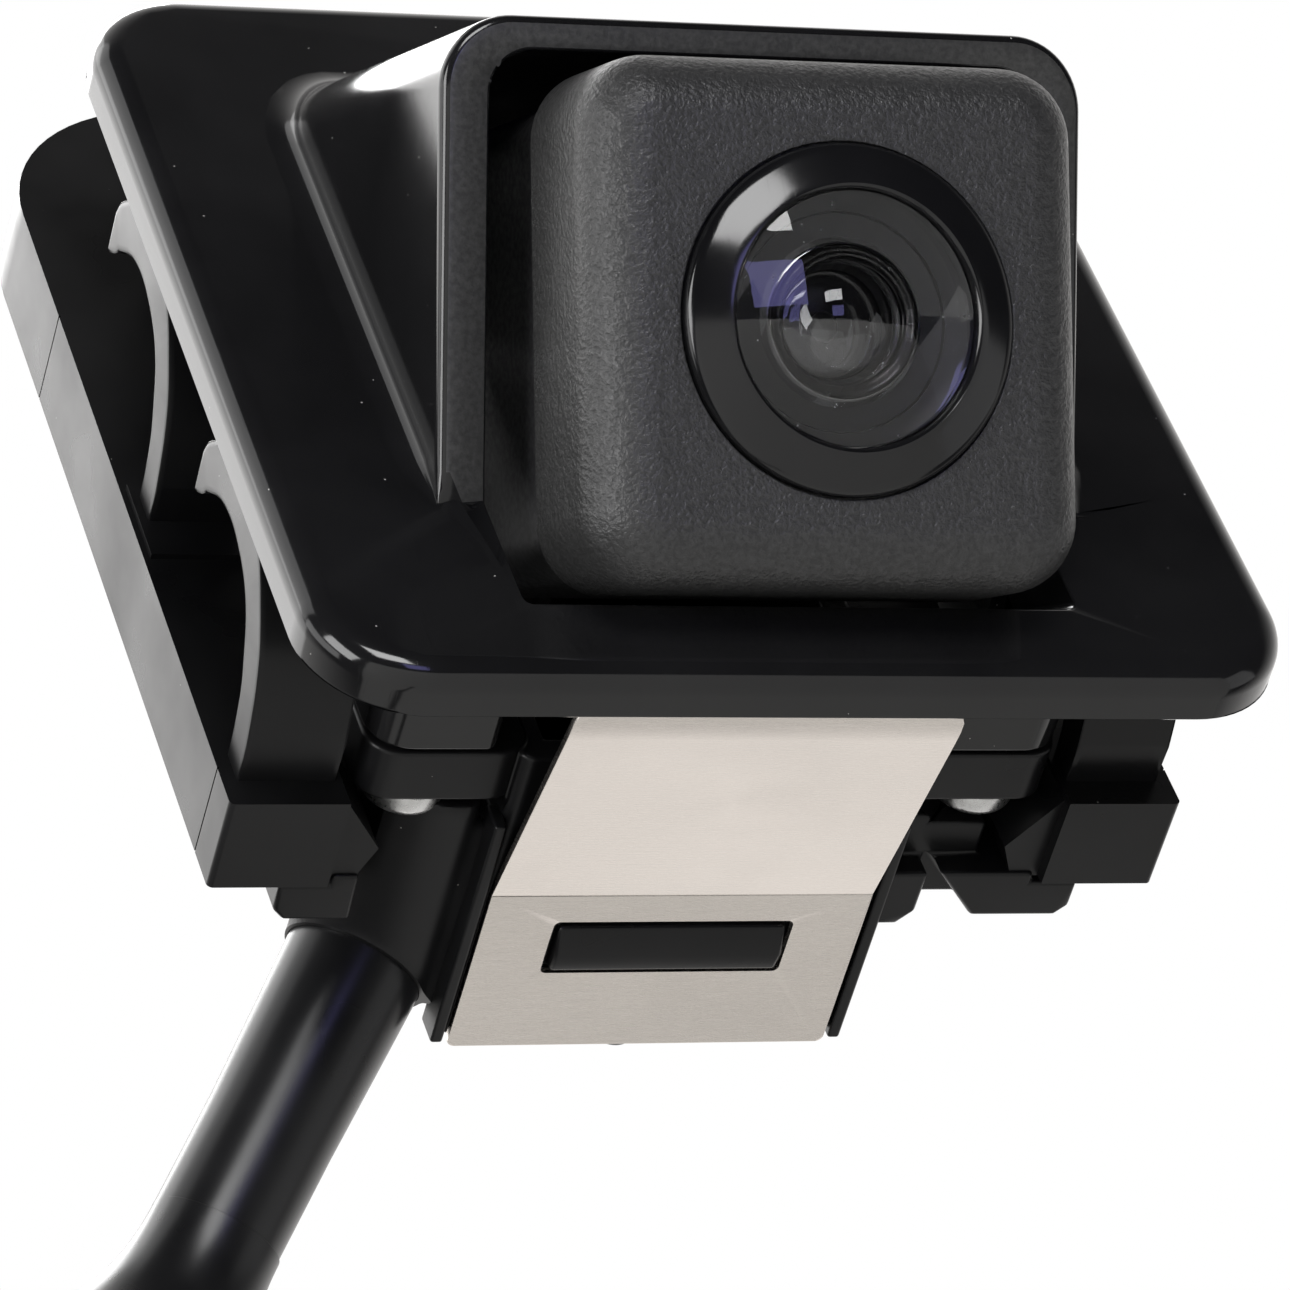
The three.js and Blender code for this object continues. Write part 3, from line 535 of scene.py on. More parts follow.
def grained_plastic(name, colour, roughness, grain=9e-6, scale=7500):
    """Spark-eroded moulded plastic: a fine, even, rounded grain with slightly shiny tops."""
    material, tree, shader = start_material(name, colour, roughness, Specular_IOR_Level=0.5, IOR=1.49)
    plain = object_coordinates(tree)
    fine = noise(tree, plain, scale, 2.5, 0.6)
    coarse = noise(tree, plain, scale / 9, 2)
    vary_roughness(tree, shader, fine, 0.35, 0.65, roughness * 1.15, roughness * 0.82)
    base = vary_colour(tree, fine, 0.35, 0.7, colour, scaled(colour, 1.9, 0.003))
    waves = bump(tree, coarse, "Fac", grain * 1.2)
    finish(tree, shader, base, bump(tree, fine, "Fac", grain, 1.0, waves))
    return material


def brushed_steel(name, colour, roughness, stretch, lines=0.8e-6):
    """Rolled or brushed metal: fine lines along one axis, cloudy gloss, a few darker marks."""
    material, tree, shader = start_material(name, colour, roughness, 1.0, Anisotropic=0.35)
    strokes = noise(tree, object_coordinates(tree, stretch), 1, 4, 0.65)
    clouds = noise(tree, object_coordinates(tree), 110, 4)
    vary_roughness(tree, shader, strokes, 0.3, 0.7, roughness * 0.75, roughness * 1.3)
    base = vary_colour(tree, strokes, 0.3, 0.72, scaled(colour, 0.9), colour)
    dull = remap(tree, clouds, "Fac", 0.52, 0.75, 0, 0.45)
    worn = mix_colours(tree, dull, "Result", base, scaled(colour, 0.82))
    finish(tree, shader, worn, bump(tree, strokes, "Fac", lines))
    return material


def soft_rubber(name, colour, roughness, grain=4e-6, scale=2600):
    """Moulded rubber or a soft sleeve: matt, with a fine grain and a dusty bloom in patches."""
    material, tree, shader = start_material(
        name, colour, roughness, Specular_IOR_Level=0.4, Sheen_Weight=0.05)
    plain = object_coordinates(tree)
    fine = noise(tree, plain, scale, 4, 0.6)
    clouds = noise(tree, plain, 120, 3)
    vary_roughness(tree, shader, clouds, 0.3, 0.7, roughness * 0.85, roughness * 1.15)
    base = vary_colour(tree, clouds, 0.35, 0.75, colour, scaled(colour, 1.6, 0.002))
    finish(tree, shader, base, bump(tree, fine, "Fac", grain))
    return material


def coated_glass(name, tint):
    """Lens glass with a few dust specks that catch the light."""
    material, tree, shader = start_material(name, tint, 0.0, Transmission_Weight=1.0, IOR=1.52)
    plain = object_coordinates(tree)
    dots = specks(tree, plain, 700, 0.035)
    rough = remap(tree, dots, "Value", 0, 1, 0.0, 0.55)
    link(tree, rough, "Result", shader, "Roughness")
    finish(tree, shader, None, bump(tree, noise(tree, plain, 260, 3), "Fac", 0.4e-6))
    return material


# ---------------------------------------------------------------- trim plate

def optical_point(depth, height):
    """Y and Z in the plate's frame of a point at that depth behind the module's face and height up it."""
    y = FACE_CENTRE.y + depth * math.cos(TILT) - height * math.sin(TILT)
    z = FACE_CENTRE.z + depth * math.sin(TILT) + height * math.cos(TILT)
    return (y, z)


def rim_depth(height):
    return RIM_TOP + (HOOD_TOP - height) * math.tan(RIM_TILT)


def plate_outline(inset):
    half_width = PLATE_WIDTH / 2 - inset
    half_height = PLATE_HEIGHT / 2 - inset
    return rounded_rectangle(
        (-half_width, half_width), (-half_height, half_height), PLATE_CORNER - inset, steps=16)


def make_plate_slab():
    """The flat plate, with its rounded front edge as rings."""
    levels = [(0.12, 0), (0, -0.12), (0, PLATE_EDGE - PLATE_THICK)]
    for i in range(1, 9):
        angle = math.pi / 2 * i / 8
        levels.append((PLATE_EDGE * (1 - math.cos(angle)), PLATE_EDGE * (1 - math.sin(angle)) - PLATE_THICK))
    return loft("slab", [[(x, y, z) for x, z in plate_outline(inset)] for inset, y in levels])


def optical_vector(x, depth, height):
    """The point in the plate's frame at x, a depth behind the module's face and a height up it."""
    return Vector((x, *optical_point(depth, height)))


def hood_outline():
    """(x, height, outward x, outward height) up the left side, across the roof and down the right side."""
    half, top, corner = HOOD_HALF, HOOD_TOP, HOOD_CORNER
    side_steps, corner_steps, roof_steps = 40, 16, 12
    left = []
    for i in range(side_steps):
        share = 1 - (1 - i / side_steps) ** 1.6
        left.append((-half, HOOD_FOOT + (top - corner - HOOD_FOOT) * share, -1.0, 0.0))
    for i in range(corner_steps + 1):
        angle = math.pi - math.pi / 2 * i / corner_steps
        out_x, out_h = math.cos(angle), math.sin(angle)
        left.append((corner * out_x - half + corner, top - corner + corner * out_h, out_x, out_h))
    roof = [((half - corner) * (2 * i / roof_steps - 1), top, 0.0, 1.0) for i in range(1, roof_steps)]
    right = [(-x, height, -out_x, out_h) for x, height, out_x, out_h in reversed(left)]
    return left + roof + right


def make_hood():
    """The hood's wall as sections along its outline: rim, rounded edge, wall and a fillet onto the plate."""
    outline = hood_outline()
    face_y = -PLATE_THICK
    toward_plate = optical_vector(0, 1, 0) - optical_vector(0, 0, 0)
    feet = []
    for x, height, _, _ in outline:
        edge = optical_vector(x, rim_depth(height), height)
        feet.append(edge + toward_plate * ((face_y - edge.y) / toward_plate.y))
    sections = []
    for i, (x, height, out_x, out_h) in enumerate(outline):
        along = feet[min(i + 1, len(feet) - 1)] - feet[max(i - 1, 0)]
        away = Vector((-along.z, 0, along.x)).normalized()
        edge = optical_vector(x, rim_depth(height), height)
        reach = (feet[i] - edge).length
        round_edge = min(HOOD_EDGE, 0.4 * reach)
        fillet = min(HOOD_FILLET, 0.3 + 0.55 * reach)
        run = min(fillet, reach - round_edge)

        def rim(inset, sink=0.0):
            inner_height = height - out_h * inset
            return optical_vector(x - out_x * inset, rim_depth(inner_height) + sink, inner_height)

        section = [rim(HOOD_DEEP, 0.42), rim(RIM_STEP + 0.12, 0.02), rim(RIM_STEP), rim(round_edge * 1.5)]
        section += curve_between(rim(round_edge), edge, edge + toward_plate * round_edge, 6)
        section += curve_between(
            feet[i] - toward_plate * run, feet[i], feet[i] + away * fillet + Vector((0, 0.012, 0)), 8)
        section.append(feet[i] + away * fillet + Vector((0, HOOD_ROOT, 0)))
        section.append(feet[i] - away * HOOD_DEEP + Vector((0, HOOD_ROOT, 0)))
        sections.append([tuple(point) for point in section])
    return loft("hood", sections)


def make_trim_plate():
    """The plate with its hood, the window for the module, and the four bosses behind."""
    window_shape = rounded_rectangle(
        (-OPENING_HALF, OPENING_HALF), (OPENING_BOTTOM, OPENING_TOP), [0.4, 0.4, 2, 2])
    window = moved(prism(window_shape, (-20, 70), "Y"), OPTICAL)
    plate = join(make_plate_slab(), make_hood())
    for side in (-1, 1):
        for level, heights in BOSS_HEIGHTS.items():
            corners = [2 if side < 0 else 0.5, 2 if side > 0 else 0.5, 0.5, 0.5] if level == "lower" else 1
            shape = rounded_rectangle(mirrored(side, BOSS_INNER, BOSS_OUTER), heights, corners)
            plate = join(plate, prism(shape, (-0.6, BOSS_LENGTH), "Y"))
    plate = cut(plate, window)
    for side in (-1, 1):
        for height in EAR_SCREW_HEIGHTS.values():
            plate = cut(plate, pin(1.25, (2, BOSS_LENGTH + 1), side * EAR_SCREW_X, height))

    def width_at(middle, normals):
        if abs(abs(middle.x) - PLATE_WIDTH / 2) < 0.2 or abs(abs(middle.z) - PLATE_HEIGHT / 2) < 0.2:
            return 0.0
        return 0.12 if middle.y < 0 else 0.2

    return soften(plate, 0.2, angle=35, width_at=width_at)


# ---------------------------------------------------------------- rear frame

def arch_outline(root):
    """One sprung arch in Y and Z: a pad behind the plate, a tooth at its top, a leg curving to the frame."""
    shape = [(GAP, -1.2)]
    shape += spline_through([(GAP, -1.2), (1.3, -0.4), (2.2, 0.55), (3.0, 0.9)], 4)
    shape += [tuple(point) for point in curve_between(
        Vector((5.2, 0.85)), Vector((4.6, -0.5)), Vector((4.1, -0.65)), 5)]
    shape += spline_through([
        (4.1, -0.65), (3.1, -2.4), (2.8, -4.3), (3.1, -6.1), (3.7, -7.6), (4.7, -8.8), (6.3, -9.8),
        (7.6, -10.4), (9.4, -10.8)])
    shape += [(FRAME_FRONT + 1, -11.0), (FRAME_FRONT + 1, -12.8)]
    shape += [(8.8, -12.8)] + spline_through([
        (8.8, -12.8), (7.3, -12.5), (5.9, -12.1), (4.4, -11.4), (2.9, -10.2), (1.6, -8.9), (GAP, -7.0)])
    return [(y, root + z) for y, z in shape]


def make_rear_frame():
    """The frame behind the plate: two rails and a head, four sprung arches, and a lug on each foot."""
    inner = FRAME_HALF - FRAME_RAIL
    outline = rounded_rectangle(
        (-FRAME_HALF, FRAME_HALF), (FRAME_BOTTOM, FRAME_TOP),
        [0.3, 0.3, FRAME_CORNER, FRAME_CORNER], steps=16)
    window = block(
        (-inner, inner), (FRAME_FRONT - 1, FRAME_BACK + 1), (FRAME_BOTTOM - 1, FRAME_TOP - FRAME_HEAD))
    frame_piece = cut(prism(outline, (FRAME_FRONT, FRAME_BACK), "Y"), window)
    for side in (-1, 1):
        for root in ARCH_ROOTS:
            arch = prism(arch_outline(root), mirrored(side, ARCH_NEAR, ARCH_FAR), "X")
            frame_piece = join(frame_piece, soften(arch, 0.16))
        seat = block(
            mirrored(side, inner + 0.3, FRAME_HALF - 0.3), (FRAME_FRONT - GAP, FRAME_FRONT + 1), (-1.2, 3.9))
        lug = prism([
            (side * (inner + 1), FRAME_FRONT + 0.3),
            (side * inner, FRAME_FRONT + 0.3),
            (side * (inner - 2.2), FRAME_FRONT + 3.2),
            (side * (inner - 1.4), FRAME_BACK),
            (side * (inner + 1), FRAME_BACK),
        ], (FRAME_BOTTOM + 0.6, FRAME_BOTTOM + 5), "Z")
        frame_piece = join(frame_piece, seat, lug)
        for height in FRAME_SEAMS:
            seam = block(
                mirrored(side, FRAME_HALF - SEAM_DEPTH, FRAME_HALF + 1), (FRAME_FRONT - 1, FRAME_BACK + 1),
                (height, height + SEAM_WIDTH))
            frame_piece = cut(frame_piece, seam)
        frame_piece = cut(
            frame_piece, pin(0.95, (FRAME_FRONT + 1, FRAME_BACK + 1), side * FRAME_SCREW_X, FRAME_SCREW_Z))

    def width_at(middle, normals):
        if middle.y < FRAME_FRONT - 0.6:
            return 0.0
        return 0.05 if abs(middle.x) > FRAME_HALF - 0.2 and any(abs(n.z) > 0.9 for n in normals) else 0.28

    return soften(frame_piece, 0.28, width_at=width_at)


# ---------------------------------------------------------------- carrier

def onto_exit(piece, distance=0.0):
    """Turns a piece drawn round Z onto the cable's exit line, its zero at a distance along it."""
    turn = Vector((0, 0, 1)).rotation_difference(EXIT_DIRECTION).to_matrix().to_4x4()
    return moved(piece, Matrix.Translation(EXIT + EXIT_DIRECTION * distance) @ turn)


def along_exit(radius, start, end, segments=48):
    """A round bar between two distances along the cable's exit line."""
    return onto_exit(turned([(radius, start), (radius, end)], segments=segments, axis="Z"))


def make_outlet():
    """The outlet's round end, carried forward to the flange as an oblique boss and blended into the wall."""
    outline = []
    for i in range(64):
        angle = 2 * math.pi * i / 64
        along, over = BOSS_RADII[0] * math.cos(angle), BOSS_RADII[1] * math.sin(angle)
        outline.append((
            BOSS_CENTRE[0] + along * math.cos(BOSS_TURN) - over * math.sin(BOSS_TURN),
            BOSS_CENTRE[1] + along * math.sin(BOSS_TURN) + over * math.cos(BOSS_TURN)))
    wall = 1 - CARRIER_HALF
    web = prism(
        [(BOSS_CENTRE[0], WEB_TOP), (-10.5, WEB_BOTTOM), (wall, WEB_BOTTOM), (wall, WEB_TOP)],
        (FLANGE_FRONT + 0.3, CARRIER_BACK - 1.2), "Y")
    boss = join(prism(outline, (FLANGE_FRONT - 1, 30), "Y"), along_exit(3.5, -9, 2, 64), web)
    remesh = boss.modifiers.new("remesh", "REMESH")
    remesh.mode = "VOXEL"
    remesh.voxel_size = 0.2
    blend = boss.modifiers.new("blend", "SMOOTH")
    blend.factor = 0.5
    blend.iterations = 14
    apply_modifiers(boss)
    boss = cut(boss, along_exit(9, OUTLET_END, 12), lug_room(-1))
    edge, collar_length = 0.12, 1.2
    collar = [(CABLE_RADIUS, -collar_length), (OUTLET_RADIUS, -collar_length)]
    collar += arc((OUTLET_RADIUS - edge, -edge), edge, 0, 90, 6)
    collar += [(CABLE_RADIUS, 0)]
    return join(boss, onto_exit(turned(collar, segments=96, wrap=True, axis="Z"), OUTLET_END))


def lug_room(side):
    """Room in front of a carrier tab for the lug on the rear frame's foot."""
    return block(mirrored(side, 14.9, 25), (FRAME_FRONT - 0.5, TAB_FRONT), (-20, -12.9))


def room_for_lead():
    """The carrier's hollow, where the module's lead runs to the outlet."""
    half = CARRIER_HALF - CARRIER_WALL
    return block(
        (-half, half), (CARRIER_FRONT - 1, CARRIER_BACK - CARRIER_WALL),
        (CARRIER_BOTTOM + CARRIER_WALL, CARRIER_TOP - CARRIER_WALL))


def make_ears(side):
    """The ears that stand on the plate's bosses, and the post behind the upper one."""
    lower_shape = rounded_rectangle(
        mirrored(side, CARRIER_HALF - 0.6, BOSS_OUTER), BOSS_HEIGHTS["lower"], [1.6, 1.6, 0.5, 0.5])
    upper_shape = rounded_rectangle(mirrored(side, BOSS_INNER, BOSS_OUTER), BOSS_HEIGHTS["upper"], 1)
    post = block(
        mirrored(side, BOSS_INNER, BOSS_INNER + 1.2), (EAR_BACK - 0.5, FLANGE_FRONT + 0.5),
        BOSS_HEIGHTS["upper"])
    ears = [prism(shape, (EAR_FRONT, EAR_BACK), "Y") for shape in (lower_shape, upper_shape)]
    return [*ears, post]


def make_frame_grips(side):
    """The tab behind the rear frame's foot and the hook behind its head."""
    tab = prism([
        (side * TAB_OUTER, FLANGE_BACK - SINK),
        (side * TAB_OUTER, TAB_BACK - TAB_CHAMFER),
        (side * (TAB_OUTER - TAB_CHAMFER), TAB_BACK),
        (side * TAB_INNER[side][0], TAB_BACK),
        (side * TAB_INNER[side][1], FLANGE_BACK - SINK),
    ], (TAB_BOTTOM, -10), "Z")
    hook = block(mirrored(side, 6, 13), (FLANGE_BACK - SINK, TAB_BACK), (23, 33))
    tab_clear = block(mirrored(side, FLANGE_HALF, 25), (FLANGE_FRONT - 1, TAB_FRONT), (-20, 40))
    hook_clear = block(mirrored(side, 5, 14), (FLANGE_BACK - 1, TAB_FRONT), (FLANGE_TOP, 40))
    return cut(join(tab, hook), tab_clear, hook_clear)


def make_cradle(side):
    """The rib that carries the back of the camera module."""
    return prism([
        (CARRIER_FRONT + 1, -6.2),
        optical_point(MODULE_BACK, -8.6),
        optical_point(MODULE_BACK, 6.5),
        (CARRIER_FRONT + 1, 12),
    ], mirrored(side, 6, CARRIER_HALF - 1), "X")


def make_right_web():
    """The web on the flange's back beside the carrier's wall, and the rib at its foot."""
    half = CARRIER_HALF
    front, back = FLANGE_BACK - SINK, TAB_BACK - 0.3
    web = block((half, 15), (front, back), (FLANGE_BOTTOM, -14))
    rib = prism([
        (half - 0.1, front),
        (half - 0.1, back + 0.8),
        (half + 1.4, back + 0.8),
        (half + 2.2, back),
        (half + 2.2, front),
    ], (TAB_BOTTOM, -14), "Z")
    return [web, rib]


def make_lock_tab():
    """The wedge that stands through the clip's window."""
    front, back = WINDOW_FRONT + GAP, WINDOW_BACK - GAP
    bottom = CARRIER_BOTTOM
    return prism([
        (front, bottom + 0.5), (front, bottom - 0.5), (front + 1.4, bottom - 0.95),
        (back, bottom - 0.75), (back, bottom + 0.5),
    ], (GAP - WINDOW_HALF, WINDOW_HALF - GAP), "X")


def make_carrier():
    """The carrier in one piece, with its outlet, and bored for the cable last."""
    half, bottom = CARRIER_HALF, CARRIER_BOTTOM
    shell = prism(
        rounded_rectangle((-half, half), (bottom, CARRIER_TOP), 0.8), (CARRIER_FRONT, CARRIER_BACK), "Y")
    flange = prism(
        rounded_rectangle((-FLANGE_HALF, FLANGE_HALF), (FLANGE_BOTTOM, FLANGE_TOP), 2),
        (FLANGE_FRONT, FLANGE_BACK), "Y")
    boss_clear = block((-15, -10.4), (FLANGE_FRONT - 1, FLANGE_BACK + 0.2), (-20, -14.4))
    body = cut(join(shell, flange), boss_clear)
    for side in (-1, 1):
        body = join(
            cut(body, lug_room(side)), *make_ears(side), make_frame_grips(side), make_cradle(side))
    body = join(body, *make_right_web())
    nub = turned([
        (1.2, CARRIER_BACK - 0.5),
        (1.2, CARRIER_BACK + 0.9),
        (0.9, CARRIER_BACK + 1.25),
        (0.1, CARRIER_BACK + 1.4),
    ], -0.5, bottom + 1.4, 40)
    body = cut(join(body, make_lock_tab(), nub), room_for_lead())
    for side in (-1, 1):
        for level, height in EAR_SCREW_HEIGHTS.items():
            driver_end = LOWER_HEAD_ROOM if level == "lower" else FLANGE_BACK + 4
            x = side * EAR_SCREW_X
            body = cut(body, pin(1.3, (EAR_FRONT - 1, EAR_BACK + 1), x, height))
            body = cut(body, pin(2.6, (EAR_BACK, driver_end), x, height))
        body = cut(body, pin(1.2, (FLANGE_BACK, TAB_BACK + 1), side * FRAME_SCREW_X, FRAME_SCREW_Z))
    body = soften(body, 0.22)
    for side in (-1, 1):
        rail = block(
            mirrored(side, half - 0.1, half + 0.5), (EAR_BACK + 1, CARRIER_BACK),
            (CLIP_BOTTOM, bottom + 1.2))
        body = join(body, soften(rail, 0.15))
    body = join(body, make_outlet())
    return cut(body, along_exit(CABLE_RADIUS + 0.25, -15, 2, 72), room_for_lead())


# ---------------------------------------------------------------- screws

def make_screw(x, z, face, shank, head, length, rise):
    """A pan-head screw standing on a face towards +Y, with a cross recess."""
    tip = face - length
    profile = [(0.05, tip), (shank * 0.6, tip), (shank, tip + shank * 0.7)]
    profile += [(shank, face + 0.03), (head - 0.06, face + 0.03), (head, face + 0.09)]
    for i in range(1, 9):
        angle = math.pi / 2 * i / 8
        radius = head * (0.55 + 0.45 * math.cos(angle))
        profile.append((radius, face + rise * (0.45 + 0.55 * math.sin(angle))))
    profile.append((0.05, face + rise))
    body = turned(profile, x, z, 36)
    arm = head * 0.6
    blade = head * 0.15
    depths = (face + rise * 0.4, face + rise + 1)
    body = cut(body, block((x - arm, x + arm), depths, (z - blade, z + blade)))
    return cut(body, block((x - blade, x + blade), depths, (z - arm, z + arm)))


# ---------------------------------------------------------------- spring clip

def make_clip_base():
    """The clip's flat sheet under the carrier, with its window."""
    outline = rounded_rectangle((-CLIP_HALF, CLIP_HALF), (CLIP_BEND + 0.02, CLIP_BACK), [0, 0, 0.4, 0.4])
    window = rounded_rectangle((-WINDOW_HALF, WINDOW_HALF), (WINDOW_FRONT, WINDOW_BACK), 0.3)
    sheet = cut(
        prism(outline, (CLIP_BOTTOM, CLIP_BOTTOM + CLIP_THICK), "Z"),
        prism(window, (CLIP_BOTTOM - 1, CLIP_BOTTOM + 1), "Z"))
    return soften(sheet, 0.05, segments=2)


def make_clip_leaf():
    """The flared leaf: a thin strip with rounded front corners, turned up a little at its tip."""
    rows, columns = 24, 12
    corner, curl, curl_length = 1.5, 0.35, 2.4
    points = []
    for layer in (0, 1):
        for i in range(rows + 1):
            along = CLIP_LEAF * i / rows
            past = max(0.0, along - (CLIP_LEAF - corner))
            half = CLIP_HALF - corner + math.sqrt(max(corner ** 2 - past ** 2, 0.0))
            lift = curl * (max(0.0, along - CLIP_LEAF + curl_length) / curl_length) ** 2
            for j in range(columns + 1):
                x = half * (2 * j / columns - 1)
                points.append((x, -along, lift + CLIP_THICK * (layer - 0.5)))
    count = (rows + 1) * (columns + 1)
    faces = []
    for layer in (0, 1):
        for i in range(rows):
            for j in range(columns):
                a = layer * count + i * (columns + 1) + j
                faces.append((a, a + 1, a + columns + 2, a + columns + 1))
    rim = [j for j in range(columns + 1)]
    rim += [i * (columns + 1) + columns for i in range(1, rows + 1)]
    rim += [rows * (columns + 1) + j for j in range(columns - 1, -1, -1)]
    rim += [i * (columns + 1) for i in range(rows - 1, 0, -1)]
    for k, a in enumerate(rim):
        b = rim[(k + 1) % len(rim)]
        faces.append((a, b, b + count, a + count))
    leaf = soften(solid("leaf", points, faces), 0.05, segments=2)
    bend = Matrix.Translation((0, CLIP_BEND, CLIP_BOTTOM + CLIP_THICK / 2))
    return moved(leaf, bend @ Matrix.Rotation(CLIP_FLARE, 4, "X"))


# ---------------------------------------------------------------- camera module, in its optical axes

def make_front_housing():
    """The cap: straight sides, a full round to the face, and a bored flat face."""
    levels = [(0.15, MODULE_CAP), (0.0, MODULE_CAP - 0.15), (0.0, MODULE_EDGE)]
    steps = 12
    for i in range(1, steps + 1):
        angle = math.pi / 2 * i / steps
        levels.append((MODULE_EDGE * (1 - math.cos(angle)), MODULE_EDGE * (1 - math.sin(angle))))
    housing = loft("cap", [
        [(x, y, z) for x, z in square(MODULE_SIDE - 2 * inset, MODULE_CORNER - inset, 12)]
        for inset, y in levels])
    cavity = prism(square(MODULE_SIDE - 3, 1.8), (2.2, MODULE_CAP + 1), "Y")
    housing = cut(housing, cavity, pin(7.9, (-1, 0.35), segments=96), pin(7.05, (-1, 3), segments=96))
    return soften(housing, 0.08, segments=2, angle=40)


def make_lens_front_ring():
    """A conical bezel round the glass, with a rolled inner lip."""
    outer = 7.8
    profile = [(5.72, -0.55), (5.72, -0.95), (5.8, -1.1), (5.92, -1.17), (6.06, -1.14)]
    profile += [(6.3, -1.04), (7.35, -0.58), (7.6, -0.46), (7.75, -0.3), (outer, -0.08)]
    profile += [(outer, 0.28), (6.98, 0.28), (6.98, 1.7), (6.1, 1.7), (6.1, -0.55)]
    return turned(profile, segments=128, wrap=True)


def radii_across(radius, steps):
    """Radii from the axis to the edge, the first one just off the axis."""
    return [max(radius * i / steps, 0.02) for i in range(steps + 1)]


def make_front_lens():
    """The domed outer glass: a shallow front and a deep hollow behind."""
    radius, steps = 5.62, 24
    hollow_radius, hollow_depth, back = 3.3, 2.2, 1.65
    profile = [(r, -1.75 + 0.95 * (r / radius) ** 2) for r in radii_across(radius, steps)]
    profile += [(radius, 1.62), (hollow_radius, back)]
    for i in range(1, steps + 1):
        angle = math.pi / 2 * i / steps
        profile.append((max(hollow_radius * math.cos(angle), 0.02), back - hollow_depth * math.sin(angle)))
    return turned(profile, segments=96)


def bulged_lens(radius, front, back, front_bulge, back_bulge):
    """A lens element between two depths, bulging forwards and backwards at its middle."""
    radii = radii_across(radius, 16)
    profile = [(r, front - front_bulge * (1 - (r / radius) ** 2)) for r in radii]
    profile += [(r, back + back_bulge * (1 - (r / radius) ** 2)) for r in reversed(radii)]
    return turned(profile, segments=72)


# ---------------------------------------------------------------- cable

def smooth_route():
    """The cable's centre line in millimetres, as close points on a centripetal curve through ROUTE."""
    points = [Vector(point) / MM for point in ROUTE]
    first = points[0] * 2 - points[1]
    last = points[-1] * 2 - points[-2]
    padded = [first] + points + [last]
    out = [points[0]]
    for i in range(1, len(padded) - 2):
        p0, p1, p2, p3 = padded[i - 1:i + 3]
        t0 = 0.0
        t1 = t0 + (p1 - p0).length ** 0.5
        t2 = t1 + (p2 - p1).length ** 0.5
        t3 = t2 + (p3 - p2).length ** 0.5
        steps = max(2, round((p2 - p1).length / 1.2))
        for j in range(1, steps + 1):
            t = t1 + (t2 - t1) * j / steps
            a1 = p0.lerp(p1, (t - t0) / (t1 - t0))
            a2 = p1.lerp(p2, (t - t1) / (t2 - t1))
            a3 = p2.lerp(p3, (t - t2) / (t3 - t2))
            b1 = a1.lerp(a2, (t - t0) / (t2 - t0))
            b2 = a2.lerp(a3, (t - t1) / (t3 - t1))
            out.append(b1.lerp(b2, (t - t1) / (t2 - t1)))
    return out


def sweep(name, path, radius_at, segments=48):
    """A round bar along a path, its radius given by the distance from the start."""
    rings = []
    side = Vector((0, 0, 1)).cross(path[1] - path[0]).normalized()
    run = 0.0
    for i, point in enumerate(path):
        ahead = path[min(i + 1, len(path) - 1)] - path[max(i - 1, 0)]
        ahead.normalize()
        side = (side - ahead * side.dot(ahead)).normalized()
        up = ahead.cross(side)
        if i:
            run += (point - path[i - 1]).length
        radius = radius_at(run)
        ring = []
        for k in range(segments):
            angle = 2 * math.pi * k / segments
            ring.append(tuple(point + (side * math.cos(angle) + up * math.sin(angle)) * radius))
        rings.append(ring)
    return loft(name, rings)


def cable_radius(run):
    """The sleeve's radius at a distance along the cable."""
    return CABLE_RADIUS + CABLE_TAPER * max(0.0, TAPER_END - run)


def make_grommet():
    """A moulded sleeve that starts flush on the cable and flares like a trumpet to a round collar."""
    start, length, flare, widest = 15.0, 12.0, 9.0, 3.7
    inner = CABLE_RADIUS + 0.02
    profile = [(inner, 0), (inner + 0.03, 0.02)]
    for i in range(1, 21):
        t = i / 20
        profile.append((inner + 0.03 + widest * t ** 2.3, 0.02 + flare * t))
    for i in range(1, 9):
        angle = math.pi * i / 8
        bulge, rise = 0.4 * math.sin(angle), 1.3 * (1 - math.cos(angle))
        profile.append((inner + widest + 0.03 + bulge, flare + 0.02 + rise))
    profile += [(inner + widest - 0.8, length), (inner, length)]
    return onto_exit(turned(profile, segments=96, wrap=True, axis="Z"), start)


# ---------------------------------------------------------------- connector, in its own axes

